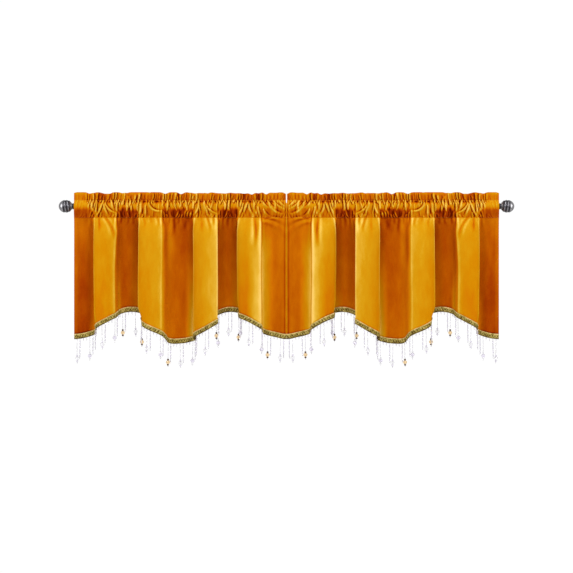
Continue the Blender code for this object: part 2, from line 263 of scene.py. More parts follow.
for side, word in ((-1, "left"), (1, "right")):
    low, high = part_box("ball_" + word)
    radius = 0.5 * BALL_WIDTH / (1 + RIB_RISE)
    centre = max(abs(low.x), abs(high.x)) - TIP_INSET - 0.5 * BALL_LENGTH
    bm = bmesh.new()
    bmesh.ops.create_uvsphere(bm, u_segments=BALL_SEGMENTS, v_segments=BALL_RINGS, radius=1.0)
    crests = []
    for vert in bm.verts:
        height = vert.co.z
        power = 2.0 if height > 0 else BLUNT
        ring = max(0.0, 1.0 - abs(height) ** power) ** (1 / power)
        angle = math.atan2(vert.co.y, vert.co.x)
        ribbed = 1 - ease(TIP_START, TIP_END, height)
        wave = 0.5 + 0.5 * math.cos(RIBS * angle)
        rib = ribbed * wave ** RIB_SECTION + (1 - ribbed) * TIP_RISE
        turn = angle + side * RIB_SWIRL * height
        reach = radius * ring * (1 + RIB_RISE * rib * ring)
        along = centre + 0.5 * BALL_LENGTH * height
        vert.co = (side * along, reach * math.cos(turn), side * reach * math.sin(turn))
        crests.append(CREST_TONE * ribbed * wave ** CREST_SECTION + TIP_TONE * (1 - ribbed))
    ball = finish_piece(bm, "ball_finial_" + word, [antiqued_pewter])
    set_attribute(ball, "crest", crests)
    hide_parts("ball_" + word)


# Valances. Each is one panel of gold velvet, cut 1067 x 534 mm, with its lower edge cut in
# scallops. The top is turned down behind and sewn twice through both layers, which makes the
# standing ruffle and the rod's pocket, and pushing the panel together on the rod gathers it.
PANEL = 641.0 * MM                 # width as it hangs
CLOTH = 1.2 * MM                   # thickness with its pile
TOP = 41.2 * MM                    # heights are above the rod's axis
HEADER_SEAM = 18.2 * MM
POCKET_SEAM = -34.0 * MM
LAYER_GAP = 0.6 * MM               # half the space between two layers where they are sewn
BRAID_HEIGHT = 16.0 * MM

# Folds of one valance in plan, in mm. Across runs from the outer edge to the slit, and depth is
# minus towards the room. A fold starts in a tuck behind its lip, rises to its nose and falls to
# the floor behind. The last seven are the drop of the hem at the lip, on the rise, at the nose, at
# its foot behind and on that floor, how far the lip leans in at the hem, and how far the nose is
# pulled along the rod. The curve's other points lie at set shares of the way between these places.
Fold = namedtuple("Fold", "lip nose lip_depth nose_depth tuck fall floor "
                          "lip_hem rise_hem nose_hem foot_hem floor_hem lean pull")
FOLDS = [Fold(*(value * MM for value in row)) for row in (
    (61, 123, -16, -27, 6, 12, 14, 375, 358, 338, 327, 319, 6, 6),
    (195, 266, -16, -36, 28, 16, 9, 351, 371, 391, 411, 414, 12, 0),
    (360, 433, -8, -36, 9, -11, 13, 398, 381, 354, 336, 320, 2, 1),
    (493, 563, -16, -37, 14, 5, 3, 334, 346, 370, 383, 395, 5, 0),
)]
EDGE_DEPTH = 4.0 * MM              # at the outer edge
EDGE_FLOOR = 12.0 * MM             # and between that and the first fold
EDGE_HEM = 401.0 * MM              # drop of the hem at both ends
TURN = 5.5 * MM                    # how round the lips and the tucks are
CURVE_STEPS = 20                   # of the curve in plan between two of its points
TUCK_ON_ROD = 7.0 * MM             # width into which a fold's hidden cloth is pushed on the rod
LEAN_RISE = 45.0 * MM              # height above the hem at which a lip starts to lean
LEAN_REACH = 15.0 * MM
PULL_DOWN = 170.0 * MM             # below the pocket's seam, where a nose is back in its own place
PULL_REACH = 20.0 * MM

COLUMNS = 230                      # of the cloth's grid
FRONT_CUTS = 2                     # of each column in the header's front, which makes three of it
BODY_STEPS = 60                    # rows of the body, from the hem to the pocket's seam
BODY_CROWD = 1.6                   # how much closer they lie towards the seam
BRAID_ROWS_ABOVE = (0.98, 0.976, 0.97, 0.962)   # extra rows, just above the braid
POCKET_STEPS, RUFFLE_STEPS = 30, 12             # rows of the header in front
POCKET_STEPS_BEHIND, RUFFLE_STEPS_BEHIND = 14, 6
FINE_STEPS = 4000                  # samples along the cloth, for sharing out its columns
REST_WEIGHT = 0.35                 # columns for a length of hidden cloth, against shown cloth
TURN_WEIGHT = 4.0 * MM             # how much closer the columns lie where the cloth turns


def fold_stations():
    """Control points (across, depth) of the cloth in plan, and the numbers of its folds' places."""
    points = [(0.0, EDGE_DEPTH), (0.5 * FOLDS[0].lip, EDGE_FLOOR - 0.5 * TURN)]
    marks = []
    floor = EDGE_FLOOR
    for number, fold in enumerate(FOLDS):
        last = number + 1 == len(FOLDS)
        reach = PANEL if last else FOLDS[number + 1].lip
        back = fold.lip + fold.tuck
        foot = fold.nose + fold.fall
        start = len(points)
        points += [
            (back - TURN, floor + 0.6 * TURN),
            (back, floor - TURN),
            (between(fold.lip, back, 0.5), between(floor, fold.lip_depth, 0.55)),
            (fold.lip, fold.lip_depth + TURN),
            (fold.lip + TURN, fold.lip_depth - TURN),
            (between(fold.lip, fold.nose, 0.4), between(fold.lip_depth, fold.nose_depth, 0.6) - TURN),
            (fold.nose - 2.5 * TURN, fold.nose_depth),
            (fold.nose, fold.nose_depth + TURN),
            (between(fold.nose, foot, 0.6), between(fold.nose_depth, fold.floor, 0.4)),
            (foot, between(fold.nose_depth, fold.floor, 0.72)),
            (between(foot, reach, 0.2), between(fold.nose_depth, fold.floor, 0.95)),
            (between(foot, reach, 0.55), fold.floor),
        ]
        marks.append({"tuck": start, "lip": start + 3, "rise": start + 5, "brow": start + 6,
                      "nose": start + 7, "foot": start + 9, "floor": start + 11})
        floor = fold.floor
    points.append((PANEL, 0.0))
    return np.array(points), marks


def hump(value, middle, reach):
    """1 at the middle, falling to about 0 at twice the reach."""
    return np.exp(-((value - middle) / reach) ** 2)


def smooth_path(points):
    """A centripetal Catmull-Rom curve through the points, with CURVE_STEPS between two."""
    ends = [2 * points[0] - points[1], *points, 2 * points[-1] - points[-2]]
    curve = []
    for a, b, c, d in zip(ends, ends[1:], ends[2:], ends[3:]):
        ta = math.sqrt(np.linalg.norm(b - a))
        tb = ta + math.sqrt(np.linalg.norm(c - b))
        tc = tb + math.sqrt(np.linalg.norm(d - c))
        for t in np.linspace(ta, tb, CURVE_STEPS, endpoint=False):
            ab = a + (b - a) * t / ta
            bc = b + (c - b) * (t - ta) / (tb - ta)
            cd = c + (d - c) * (t - tb) / (tc - tb)
            abc = ab + (bc - ab) * t / tb
            bcd = bc + (cd - bc) * (t - ta) / (tc - ta)
            curve.append(abc + (bcd - abc) * (t - ta) / (tb - ta))
    curve.append(points[-1])
    return np.array(curve)


def smooth_values(marks, knots, values):
    """A smooth curve of one value through its knots, level at both ends."""
    slopes = np.gradient(values, knots)
    slopes[0] = slopes[-1] = 0.0
    cell = np.clip(np.searchsorted(knots, marks) - 1, 0, len(knots) - 2)
    width = knots[cell + 1] - knots[cell]
    t = np.clip((marks - knots[cell]) / width, 0.0, 1.0)
    rise = values[cell + 1] - values[cell]
    start, end = slopes[cell] * width, slopes[cell + 1] * width
    bow = t * start + t * t * (3 * rise - 2 * start - end) + t ** 3 * (start + end - 2 * rise)
    return values[cell] + bow


stations, fold_marks = fold_stations()
plan = smooth_path(stations)
plan_steps = np.diff(plan, axis=0)
step_lengths = np.linalg.norm(plan_steps, axis=1)
plan_along = np.concatenate([[0.0], np.cumsum(step_lengths)])
SPAN = plan_along[-1]              # width of the cloth along its folds
step_middles = 0.5 * (plan_along[1:] + plan_along[:-1])
# Each fold's places as lengths along the cloth
fold_arcs = [{name: plan_along[station * CURVE_STEPS] for name, station in mark.items()}
             for mark in fold_marks]

hem_knots, hem_drops = [0.0], [EDGE_HEM]
rod_knots, rod_places = [0.0], [0.0]
for fold, arc in zip(FOLDS, fold_arcs):
    hem_knots += [arc["lip"], arc["rise"], arc["nose"], arc["foot"], arc["floor"]]
    hem_drops += [fold.lip_hem, fold.rise_hem, fold.nose_hem, fold.foot_hem, fold.floor_hem]
    rod_knots += [arc["tuck"], arc["lip"], arc["nose"], arc["foot"]]
    nose = fold.nose + fold.pull
    rod_places += [fold.lip - TUCK_ON_ROD, fold.lip, nose, nose + TUCK_ON_ROD]
hem_knots, hem_drops = np.array(hem_knots + [SPAN]), np.array(hem_drops + [EDGE_HEM])
rod_knots, rod_places = np.array(rod_knots + [SPAN]), np.array(rod_places + [PANEL])


def hem_drop(along):
    """How far the hem hangs below the rod's axis."""
    return smooth_values(along, hem_knots, hem_drops)


def place_in_plan(along, above_hem=0.0):
    """Where the hanging cloth is in plan, and the direction out of its front."""
    across = np.interp(along, plan_along, plan[:, 0])
    depth = np.interp(along, plan_along, plan[:, 1])
    for fold, arc in zip(FOLDS, fold_arcs):
        near = hump(along, arc["lip"], LEAN_REACH)
        across = across + fold.lean * near * (1 - ease(0.0, LEAN_RISE, above_hem))
    flow = plan_steps / step_lengths[:, None]
    out_x = np.interp(along, step_middles, flow[:, 1])
    out_y = np.interp(along, step_middles, -flow[:, 0])
    size = np.hypot(out_x, out_y)
    return across, depth, out_x / size, out_y / size


# Stretch of cloth each way over which its places on the rod even out
ROD_BLEND = np.linspace(-7 * MM, 7 * MM, 7)


def place_on_rod(along):
    """Where the gathered cloth is along the rod, with its hidden stretches pushed together."""
    reached = np.clip(np.asarray(along)[..., None] + ROD_BLEND, 0.0, SPAN)
    even = np.interp(reached, rod_knots, rod_places).mean(axis=-1)
    slack_low = np.interp(np.clip(ROD_BLEND, 0.0, SPAN), rod_knots, rod_places).mean()
    slack_high = np.interp(np.clip(SPAN + ROD_BLEND, 0.0, SPAN), rod_knots, rod_places).mean()
    return (even - slack_low) * PANEL / (slack_high - slack_low)


# Ridges that the gathers make, drawn unevenly along the rod. Each row of them starts at a height
# and reaches up or down from there, with so many ridges that fan out from each place. The pairs
# are the least and the most, and all but the fan is in mm.
Gathers = namedtuple("Gathers", "start reach gap slant half_width rise fan")
GATHERS = (
    Gathers(17.5, (14, 30), (6.5, 16.0), 4.0, (1.2, 2.8), (1.2, 3.4), 1),
    Gathers(19.6, (-9, -42), (7.5, 17.0), 16.0, (1.0, 2.4), (1.6, 4.4), 2),
    Gathers(18.8, (-7, -15), (4.0, 8.5), 6.0, (0.9, 1.4), (1.4, 3.0), 1),
    Gathers(-34.5, (9, 25), (7.0, 16.0), 9.0, (1.4, 2.8), (0.8, 2.2), 1),
    Gathers(-33.0, (-14, -48), (9.0, 24.0), 3.0, (2.2, 4.4), (0.4, 1.1), 1),
)
GATHER_BOW = 3.0                   # the most that a ridge bows sideways
FAN_SPREAD = 0.3                   # share of the slant by which the ridges of a fan part
SMOOTH_END = 38.0                  # the outer stretch, where the gathers are slight
SMOOTH_SHARE = 0.22
# Stretches where wide creases run, and how tall the gathers stand between them
QUIET = ((86, 104), (206, 224), (238, 262), (380, 406), (514, 538), (566, 641))
QUIET_SHARE = 0.35
HIGHEST, LOWEST = 4.4 * MM, -1.6 * MM   # of all that crosses at one place

# Creases that show on the front, from pulling the cloth along the rod. Each runs from one point
# to another, in mm from the outer edge and above the rod's axis, bowed sideways, with its half
# width and its height.
Crease = namedtuple("Crease", "x1 z1 x2 z2 bow half_width rise")
CREASES = [Crease(*row) for row in (
    (90, 18, 67, -33, 2, 2.2, 3.4),
    (90, 18, 106, -33, -3, 2.2, 3.4),
    (94, 11, 128, -22, -6, 2.4, 3.2),
    (128, -20, 125, -80, 0, 2.6, 1.6),
    (73, -36, 75, -78, 0, 3.4, 2.0),
    (90, -35, 119, -94, 5, 4.6, 3.0),
    (64, -33, 60, -70, 0, 2.6, 1.2),
    (203, 12, 198, -33, 2, 3.0, 2.8),
    (217, 2, 217, -33, 0, 2.2, 2.6),
    (226, 11, 262, -16, -9, 2.8, 3.4),
    (265, -12, 265, -62, 0, 2.6, 2.0),
    (205, -33, 212, -66, 3, 2.8, 2.0),
    (228, -30, 231, -54, 0, 3.4, 1.8),
    (247, -33, 254, -60, 2, 3.4, 1.8),
    (312, 15, 321, -5, 1, 1.6, 2.6),
    (330, 16, 322, -5, -1, 1.6, 2.4),
    (296, -34, 298, -84, 0, 6.0, 1.4),
    (334, -34, 330, -70, 0, 5.0, 1.0),
    (378, 2, 364, -27, 1, 2.2, 2.8),
    (391, 11, 405, -33, 2, 2.2, 3.0),
    (393, 14, 431, -24, -6, 2.4, 3.4),
    (431, -22, 431, -90, 0, 3.0, 1.8),
    (397, -31, 410, -76, 2, 3.2, 2.8),
    (414, -22, 420, -58, 0, 4.0, 1.8),
    (371, -34, 374, -56, 1, 3.0, 1.6),
    (511, 10, 501, -24, 1, 2.2, 2.8),
    (526, 12, 513, -21, -1, 2.2, 3.0),
    (528, 10, 541, -28, -3, 2.4, 3.4),
    (541, -24, 542, -124, 2, 5.0, 2.6),
    (556, -2, 563, -34, -1, 2.4, 2.4),
    (563, -32, 565, -110, 0, 2.6, 2.2),
    (568, 17, 587, -6, -2, 2.2, 3.4),
    (585, 17, 607, -9, -2, 2.2, 3.4),
    (601, 18, 631, -9, -2, 2.2, 3.4),
    (618, 18, 640, -4, -1, 2.0, 2.8),
    (592, 0, 628, -26, -4, 3.2, 2.0),
    (572, -8, 590, -32, -3, 2.6, 2.0),
    (566, -46, 634, -92, 12, 6.5, 2.2),
    (594, -36, 638, -60, 6, 5.0, 1.6),
)]

# A crease swells, fades and widens over shares of its length. On its shaded side runs a trough,
# whose depth is a share of the crease, and whose place and width are in half widths. So is how
# far to the side a crease is felt at all.
CREASE_SWELL, CREASE_FADE, CREASE_WIDENS = (-0.12, 0.14), (0.5, 1.15), (0.75, 1.25)
TROUGH_SHARE, TROUGH_AWAY, TROUGH_HALF = 0.5, 1.7, 0.9
CREASE_ASIDE = 5

# Dips of the ruffle's top edge: place, depth and half width in mm
TOP_DIPS = (
    (1, 2.5, 4), (47, 4.2, 8), (60, 2.0, 7), (97, 5.0, 15), (109, 2.0, 5), (147, 2.8, 9),
    (161, 2.0, 6), (229, 1.0, 4), (276, 5.0, 9), (324, 6.2, 9), (349, 1.2, 5), (366, 3.6, 12),
    (390, 2.6, 14), (405, 2.6, 6), (436, 3.0, 16), (458, 3.6, 12), (488, 3.2, 14), (515, 4.6, 14),
    (538, 7.0, 9), (558, 3.4, 8), (581, 6.4, 8), (606, 1.8, 16), (641, 5.0, 7),
)


def gather_ridges():
    draw = random.Random(29)
    ridges = []
    for row in GATHERS:
        place = draw.uniform(*row.gap)
        while place < PANEL / MM:
            calm = SMOOTH_SHARE if place < SMOOTH_END else 1.0
            if any(start < place < end for start, end in QUIET):
                calm = QUIET_SHARE
            for number in range(row.fan):
                lean = draw.uniform(-row.slant, row.slant)
                if row.fan > 1:
                    lean = between(FAN_SPREAD * row.slant, lean, 0.5) * (1 if number else -1)
                far_end = row.start + draw.uniform(*row.reach)
                bow = draw.uniform(-GATHER_BOW, GATHER_BOW)
                half_width = draw.uniform(*row.half_width)
                rise = calm * draw.uniform(*row.rise)
                ridges.append(Crease(place, row.start, place + lean, far_end, bow, half_width, rise))
            place += draw.uniform(*row.gap)
    return ridges


def crease_rise(places, heights, creases):
    """How far the creases stand out at each place."""
    rise = np.zeros_like(places)
    for crease in creases:
        start_x, start_z = crease.x1 * MM, crease.z1 * MM
        run_x, run_z = crease.x2 * MM - start_x, crease.z2 * MM - start_z
        length = math.hypot(run_x, run_z)
        ahead_x, ahead_z = run_x / length, run_z / length
        dx, dz = places - start_x, heights - start_z
        along = (dx * ahead_x + dz * ahead_z) / length
        aside = dz * ahead_x - dx * ahead_z - crease.bow * MM * 4 * along * (1 - along)
        near = (along > CREASE_SWELL[0]) & (along < CREASE_FADE[1]) \
            & (np.abs(aside) < CREASE_ASIDE * crease.half_width * MM)
        along = along[near]
        aside = aside[near] / (crease.half_width * MM * between(*CREASE_WIDENS, along))
        shaded = aside if run_z < 0 else -aside
        swell = ease(*CREASE_SWELL, along) * (1 - ease(*CREASE_FADE, along))
        profile = np.exp(-aside ** 2) - TROUGH_SHARE * hump(shaded, TROUGH_AWAY, TROUGH_HALF)
        rise[near] += crease.rise * MM * swell * profile
    return rise


gathers = gather_ridges()

# Rows of the grid. The body's rows run from the hem up to the pocket's seam, then the pocket and
# the ruffle in front, over the top, and the ruffle and the pocket behind.
OVER_RISE = 0.4 * MM               # of the fold over the ruffle's top
body_shares = np.linspace(1.0, 0.0, BODY_STEPS + 1)[:-1] ** BODY_CROWD
body_shares = np.sort(np.concatenate([body_shares, BRAID_ROWS_ABOVE]))[::-1]
BODY_ROWS = len(body_shares)
front_heights = np.concatenate([np.linspace(POCKET_SEAM, HEADER_SEAM, POCKET_STEPS + 1),
                                np.linspace(HEADER_SEAM, TOP, RUFFLE_STEPS + 1)[1:]])
back_heights = np.concatenate([np.linspace(TOP, HEADER_SEAM, RUFFLE_STEPS_BEHIND + 1),
                               np.linspace(HEADER_SEAM, POCKET_SEAM, POCKET_STEPS_BEHIND + 1)[1:]])
row_share = np.concatenate([body_shares, np.zeros(len(front_heights) + 1 + len(back_heights))])
row_height = np.concatenate([np.zeros(BODY_ROWS), front_heights, [TOP + OVER_RISE], back_heights])
BODY, FRONT, OVER, BEHIND = range(4)
row_part = np.concatenate([np.full(BODY_ROWS, BODY), np.full(len(front_heights), FRONT), [OVER],
                           np.full(len(back_heights), BEHIND)])
FRONT_START, FRONT_END = BODY_ROWS, BODY_ROWS + len(front_heights) - 1
LAST_ROW = len(row_part) - 1
HEADER_SEAM_ROW = FRONT_START + POCKET_STEPS
HEADER_SEAM_BEHIND = LAST_ROW - POCKET_STEPS_BEHIND

# Half the space that the pocket leaves for the rod, by height
POCKET_KNOTS = np.array([POCKET_SEAM, -17 * MM, -4 * MM, 4.5 * MM, HEADER_SEAM])
POCKET_HALF = np.array([LAYER_GAP, 7.0 * MM, 9.9 * MM, 9.7 * MM, LAYER_GAP])
RUFFLE_HALF = 1.5 * MM             # half the space between the ruffle's layers at their tops
RUFFLE_SWAY = 2.2 * MM             # how far both layers wander together at their tops
SLIT_OPENING = 1.6 * MM            # how far each panel stands back from the slit above the rod
SLIT_FROM, SLIT_FULL = 8 * MM, 12 * MM          # heights over which it opens
SIDE_HEM = 12.0 * MM               # width of the hems down a panel's sides
SIDE_HEM_RISE = 0.2 * MM
SIDE_HEM_STEP = 0.5 * MM           # half the width over which it rises
BACK_RIDGES = 0.6                  # height of the ridges behind, as a share of those in front
RIDGES_END = 4 * MM                # from the slit, where the ridges run out
# Shares of a ridge that the two rows of sewing flatten, and how far up and down each does
HEADER_PINCH, HEADER_PINCH_REACH = 0.6, 1.4 * MM
POCKET_PINCH, POCKET_PINCH_REACH = 0.3, 1.2 * MM
OPEN_DROP = 44 * MM                # below the pocket's seam, where the cloth has spread into its folds
DEEPEN_DROP = 20 * MM              # over which the folds gain most of their depth
# Slow unevenness of the hanging cloth: how far, radians in a metre of height and of cloth, start
WANDER_ACROSS = (0.8 * MM, 17, 9, 0.0)
WANDER_DEEP = (1.0 * MM, 13, 21, 1.3)
# Slow waves along the rod: share, radians in a metre and start, and how they die out at the edges
SWAYS = ((0.5, 143, 0.0), (0.3, 251, 1.7), (0.3, 87, 0.6))
STILL_EDGE, STILL_SLIT = 60 * MM, 40 * MM


def column_marks():
    """Places of the grid's columns, closer on the cloth that shows and where it turns."""
    fine = np.linspace(0.0, SPAN, FINE_STEPS)
    shown = np.gradient(place_on_rod(fine), fine)
    heading = np.unwrap(np.arctan2(plan_steps[:, 1], plan_steps[:, 0]))
    bend = np.abs(np.gradient(heading)) / step_lengths
    turning = np.interp(fine, step_middles, bend)
    weight = REST_WEIGHT + shown + TURN_WEIGHT * turning
    reached = np.concatenate([[0.0], np.cumsum(0.5 * (weight[1:] + weight[:-1]) * np.diff(fine))])
    return np.interp(np.linspace(0.0, reached[-1], COLUMNS), reached, fine)


marks_along = column_marks()


def sway_on_rod(on_rod, pace=1.0):
    """Slow, uneven waves along the rod, still at both ends."""
    still = ease(0.0, STILL_EDGE, on_rod) * ease(PANEL, PANEL - STILL_SLIT, on_rod)
    turn = on_rod * pace
    return still * sum(share * np.sin(turn * radians + start) for share, radians, start in SWAYS)


def header_points(on_rod, height, part):
    """The pocket and the ruffle, gathered on the rod."""
    above = ease(HEADER_SEAM, TOP, height)
    half = smooth_values(np.clip(height, POCKET_SEAM, HEADER_SEAM), POCKET_KNOTS, POCKET_HALF)
    ruffle_half = between(LAYER_GAP, RUFFLE_HALF, above)
    half = np.where(height > HEADER_SEAM, ruffle_half, np.maximum(half, LAYER_GAP))
    half = np.where(part == OVER, 0.0, half)
    face = np.where(part == BEHIND, 1.0, -1.0)
    dip = sum(deep * MM * hump(on_rod, place * MM, wide * MM) for place, deep, wide in TOP_DIPS)
    x = on_rod * (1 - ease(SLIT_FROM, SLIT_FULL, height) * SLIT_OPENING / PANEL)
    y = face * half - RUFFLE_SWAY * above * sway_on_rod(on_rod)
    return x, y, height - above * dip


def body_points(along, on_rod, share):
    """The hanging cloth, which leaves the rod gathered and spreads into its folds."""
    drop = hem_drop(along) - 0.5 * BRAID_HEIGHT
    z = between(POCKET_SEAM, -drop, share)
    across, depth, *_ = place_in_plan(along, drop + z)
    down = POCKET_SEAM - z
    spread = ease(0.0, OPEN_DROP, down)
    deep = 1 - np.exp(-down / DEEPEN_DROP)
    still = ease(0.0, STILL_EDGE, along) * ease(SPAN, SPAN - STILL_EDGE, along)
    far, tall, wide, start = WANDER_ACROSS
    x = between(on_rod, across, spread) + far * still * deep * np.sin(z * tall + along * wide + start)
    for fold, arc in zip(FOLDS, fold_arcs):
        pull = fold.pull * hump(along, arc["nose"], PULL_REACH) * (1 - ease(0.0, PULL_DOWN, down))
        x = x + spread * pull
    far, tall, wide, start = WANDER_DEEP
    y = between(-LAYER_GAP, depth, deep) + far * deep * np.sin(z * tall + along * wide + start)
    return x, y, z


def cloth_points(column, row, creased):
    """The inner face of the left valance at places of the grid, with its creases or without."""
    along = np.interp(column, np.arange(COLUMNS), marks_along)
    share, height, part = row_share[row], row_height[row], row_part[row]
    on_rod = place_on_rod(along)
    body = part == BODY
    x, y, z = [np.where(body, hanging, header)
               for hanging, header in zip(body_points(along, on_rod, share),
                                          header_points(on_rod, height, part))]
    rise = np.zeros_like(x)
    if creased:
        pulled = np.where(part == BEHIND, 0.0, crease_rise(x, z, CREASES))
        rise = np.clip(crease_rise(x, z, gathers) + pulled, LOWEST, HIGHEST)
    loose = 1 - HEADER_PINCH * hump(z, HEADER_SEAM, HEADER_PINCH_REACH) \
        - POCKET_PINCH * hump(z, POCKET_SEAM, POCKET_PINCH_REACH)
    rise = rise * loose * ease(PANEL, PANEL - RIDGES_END, on_rod) * np.where(part == OVER, 0.0, 1.0)
    if creased:
        from_edge = np.minimum(along, SPAN - along)
        hemmed = 1 - ease(SIDE_HEM - SIDE_HEM_STEP, SIDE_HEM + SIDE_HEM_STEP, from_edge)
        rise = rise + SIDE_HEM_RISE * body * hemmed
    y = y + np.where(part == BEHIND, BACK_RIDGES, -1.0) * rise
    return x - PANEL, y, z, along, on_rod, rise


# Painted light and shade, from 0 to 1, at the pocket's seam and at the hem: each fold painted bright
# from its lip to its nose, as if lit from one side, and in painted shade on its foot and floor. The
# places of a fold are as in plan, and the first floor is the stretch before the first fold.
PaintedShading = namedtuple("PaintedShading", "lip rise brow nose foot floor")
FIRST_SHADING = (0.41, 0.17)
TOP_SHADINGS = (
    PaintedShading(0.68, 0.68, 0.70, 0.76, 0.30, 0.28),
    PaintedShading(0.68, 0.69, 0.73, 0.78, 0.45, 0.23),
    PaintedShading(0.70, 0.69, 0.80, 0.84, 0.28, 0.26),
    PaintedShading(0.71, 0.70, 0.78, 0.82, 0.45, 0.42),
)
HEM_SHADINGS = (
    PaintedShading(0.52, 0.52, 0.55, 0.62, 0.28, 0.30),
    PaintedShading(0.50, 0.62, 0.67, 0.72, 0.45, 0.35),
    PaintedShading(0.52, 0.64, 0.72, 0.79, 0.38, 0.37),
    PaintedShading(0.50, 0.44, 0.86, 0.90, 0.47, 0.34),
)
NOSE_FALLS = ((1, 4.5), (-4, 14), (1, 4.5), (1, 5))    # mm past each nose where its painted light falls off
# Painted light that spills past a place of a fold and lightens the shade there: the fold and the place,
# how much brighter, the shares of the drop where it starts and is full, and how far it runs out before
# and after, in mm
Spill = namedtuple("Spill", "fold place tone start full before after")
SPILLS = (
    Spill(0, "tuck", 0.40, 0.40, 1.00, 20, 20),
    Spill(0, "foot", 0.36, 0.30, 1.00, 44, 12),
    Spill(1, "tuck", 0.35, 0.10, 1.00, 48, 20),
    Spill(2, "tuck", 0.75, 0.10, 1.00, 30, 20),
    Spill(3, "tuck", 0.35, 0.30, 1.00, 34, 20),
    Spill(3, "foot", 0.46, 0.03, 0.36, 36, 36),
)
# Patches of painted shade and painted light: where, in mm from the outer edge and above the rod's axis,
# the half width and half height, and how much brighter
PAINTED_PATCHES = (
    (24, -200, 16, 90, -0.08), (82, -58, 7, 14, -0.16), (274, -120, 6, 75, -0.2),
    (290, -105, 8, 65, 0.12), (387, -58, 5, 18, -0.16), (554, -62, 6.5, 32, -0.32),
)
# The side from which the creases and gathers are painted lit
LIT_FROM = Vector((-0.62, -0.62, 0.48)).normalized()
TILT_GLOW = (1.15, 0.75)           # painted light by how far it turns to that side, in the body and in the header
LIP_STARTS, LIP_FULL = 7 * MM, 3 * MM       # before each lip, where its painted light rises
LIP_GLOW, LIP_REACH = 0.22, 3.8 * MM        # painted highlight along the lips, and its reach
LIP_EDGE = (3.5 * MM, 8 * MM)      # past the lip, where that is, at the pocket's seam and at the hem
NOSE_GLOW, NOSE_REACH = 0.14, 2.6 * MM      # and along the noses
NOSE_EDGE = 2 * MM
SIDE_GLOW, SIDE_GLOW_STEP = 0.05, 1.5 * MM  # and on the side hems
SLIT_GLOW, SLIT_REACH = 0.32, 1.5 * MM      # and where the two valances meet, beside a line of painted shade
SLIT_SHADE, SLIT_LINE, SLIT_LINE_REACH = 0.2, 5 * MM, 2.8 * MM
SEAM_SHADE, SEAM_REACH = 0.16, 1.2 * MM     # painted shade along the pocket's seam
SEAM_FADE = (20 * MM, 60 * MM)     # from the slit, where that starts and is full
BRAID_SHADE, BRAID_SHADE_UP, BRAID_SHADE_REACH = 0.16, 1.2 * MM, 1.8 * MM   # and painted shadow just above the braid

# The header's pocket is painted lit above, where it bulges over the rod, and in painted shade below,
# parted by ragged flames, and the painted shade of its lower part is deeper where the fold below it
# is darker. Values of the painted light and shade, and heights and reaches in metres.
POCKET_TONE = 0.68
FLAMES = (-14 * MM, 3 * MM)
FLAME_REACH, FLAME_MOST = 8.0, 2.6 * MM     # how far a ridge carries the bright part down
RAGGED, RAGGED_PACE = 5 * MM, 1.7  # how ragged its edge is, and against the waves along the rod
RAGGED_FINE = 1.6 * MM
RAGGED_WAVES = ((590, 0), (270, 2))         # radians in a metre, and start
UNDER_TONE, UNDER_SHARE, UNDER_FROM = 0.14, 0.9, 0.28       # by how bright the fold is at the seam
UNDER_LAST = 0.2                   # how much brighter it is in the last fold
UNDER_BEHIND = 0.3                 # its whole value on the back
TONE_SWAY, UNDER_PACE = 0.12, 2.3  # slow changes along the rod, and how much closer they are there
RUFFLE_TONE = (0.38, 0.41)         # painted light and shade of the ruffle, at its foot and at its top
# Painted highlight along the ruffle's top edge, where it catches the light
RIM_GLOW, RIM_STARTS, RIM_FULL = 0.12, 9 * MM, 2 * MM
# Painted shade and light of the ruffle, where it leans away from the light or towards it: place, how
# much brighter, and half width, the places and widths in mm
RUFFLE_TONES = (
    (14, 0.12, 17), (86, -0.2, 16), (148, 0.08, 12), (240, -0.14, 10), (320, -0.12, 14), (372, 0.08, 16),
    (514, -0.22, 18), (557, -0.2, 12), (612, 0.08, 22),
)
# Painted highlights on ridges and painted shade in hollows: the rise at which each is full, and their
# tones in the pocket and the ruffle
RIDGE_FULL, HOLLOW_FULL = 2.4 * MM, 1.2 * MM
RIDGE_MOST = 1.2                   # of that share, for the tallest ridges
RIDGE_GLOW, HOLLOW_SHADE, HEADER_SHADE = (0.21, 0.34), (0.55, 0.44), 0.04
CALM_STEP, CALM_SHARE = 10 * MM, 0.5        # where the outer stretch ends, and how strong they are there
PIT_SHADE, PITS_DOWN, PITS_REACH = 0.68, 4.4 * MM, 4.8 * MM     # painted shade in the pits below the ruffle's sewing
PITS_FROM, PITS_FULL = 30 * MM, 44 * MM     # from a panel's ends
# the brightest that the painted light gets in the header
HEADER_BRIGHTEST = 0.88

# Painted light and shade of the folds along the cloth, at the pocket's seam and at the hem
shading_knots, shading_tops, shading_hems = [0.0], [FIRST_SHADING[0]], [FIRST_SHADING[1]]
for arc, (fall_start, fall_end), top, hem in zip(fold_arcs, NOSE_FALLS, TOP_SHADINGS, HEM_SHADINGS):
    shading_knots += [arc["lip"] - LIP_STARTS, arc["lip"] - LIP_FULL, arc["rise"], arc["brow"],
                  arc["nose"] + fall_start * MM, arc["nose"] + fall_end * MM, arc["floor"]]
    shading_tops += [shading_tops[-1], top.lip, top.rise, top.brow, top.nose, top.foot, top.floor]
    shading_hems += [shading_hems[-1], hem.lip, hem.rise, hem.brow, hem.nose, hem.foot, hem.floor]
shading_knots.append(SPAN)
shading_tops.append(shading_tops[-1])
shading_hems.append(shading_hems[-1])


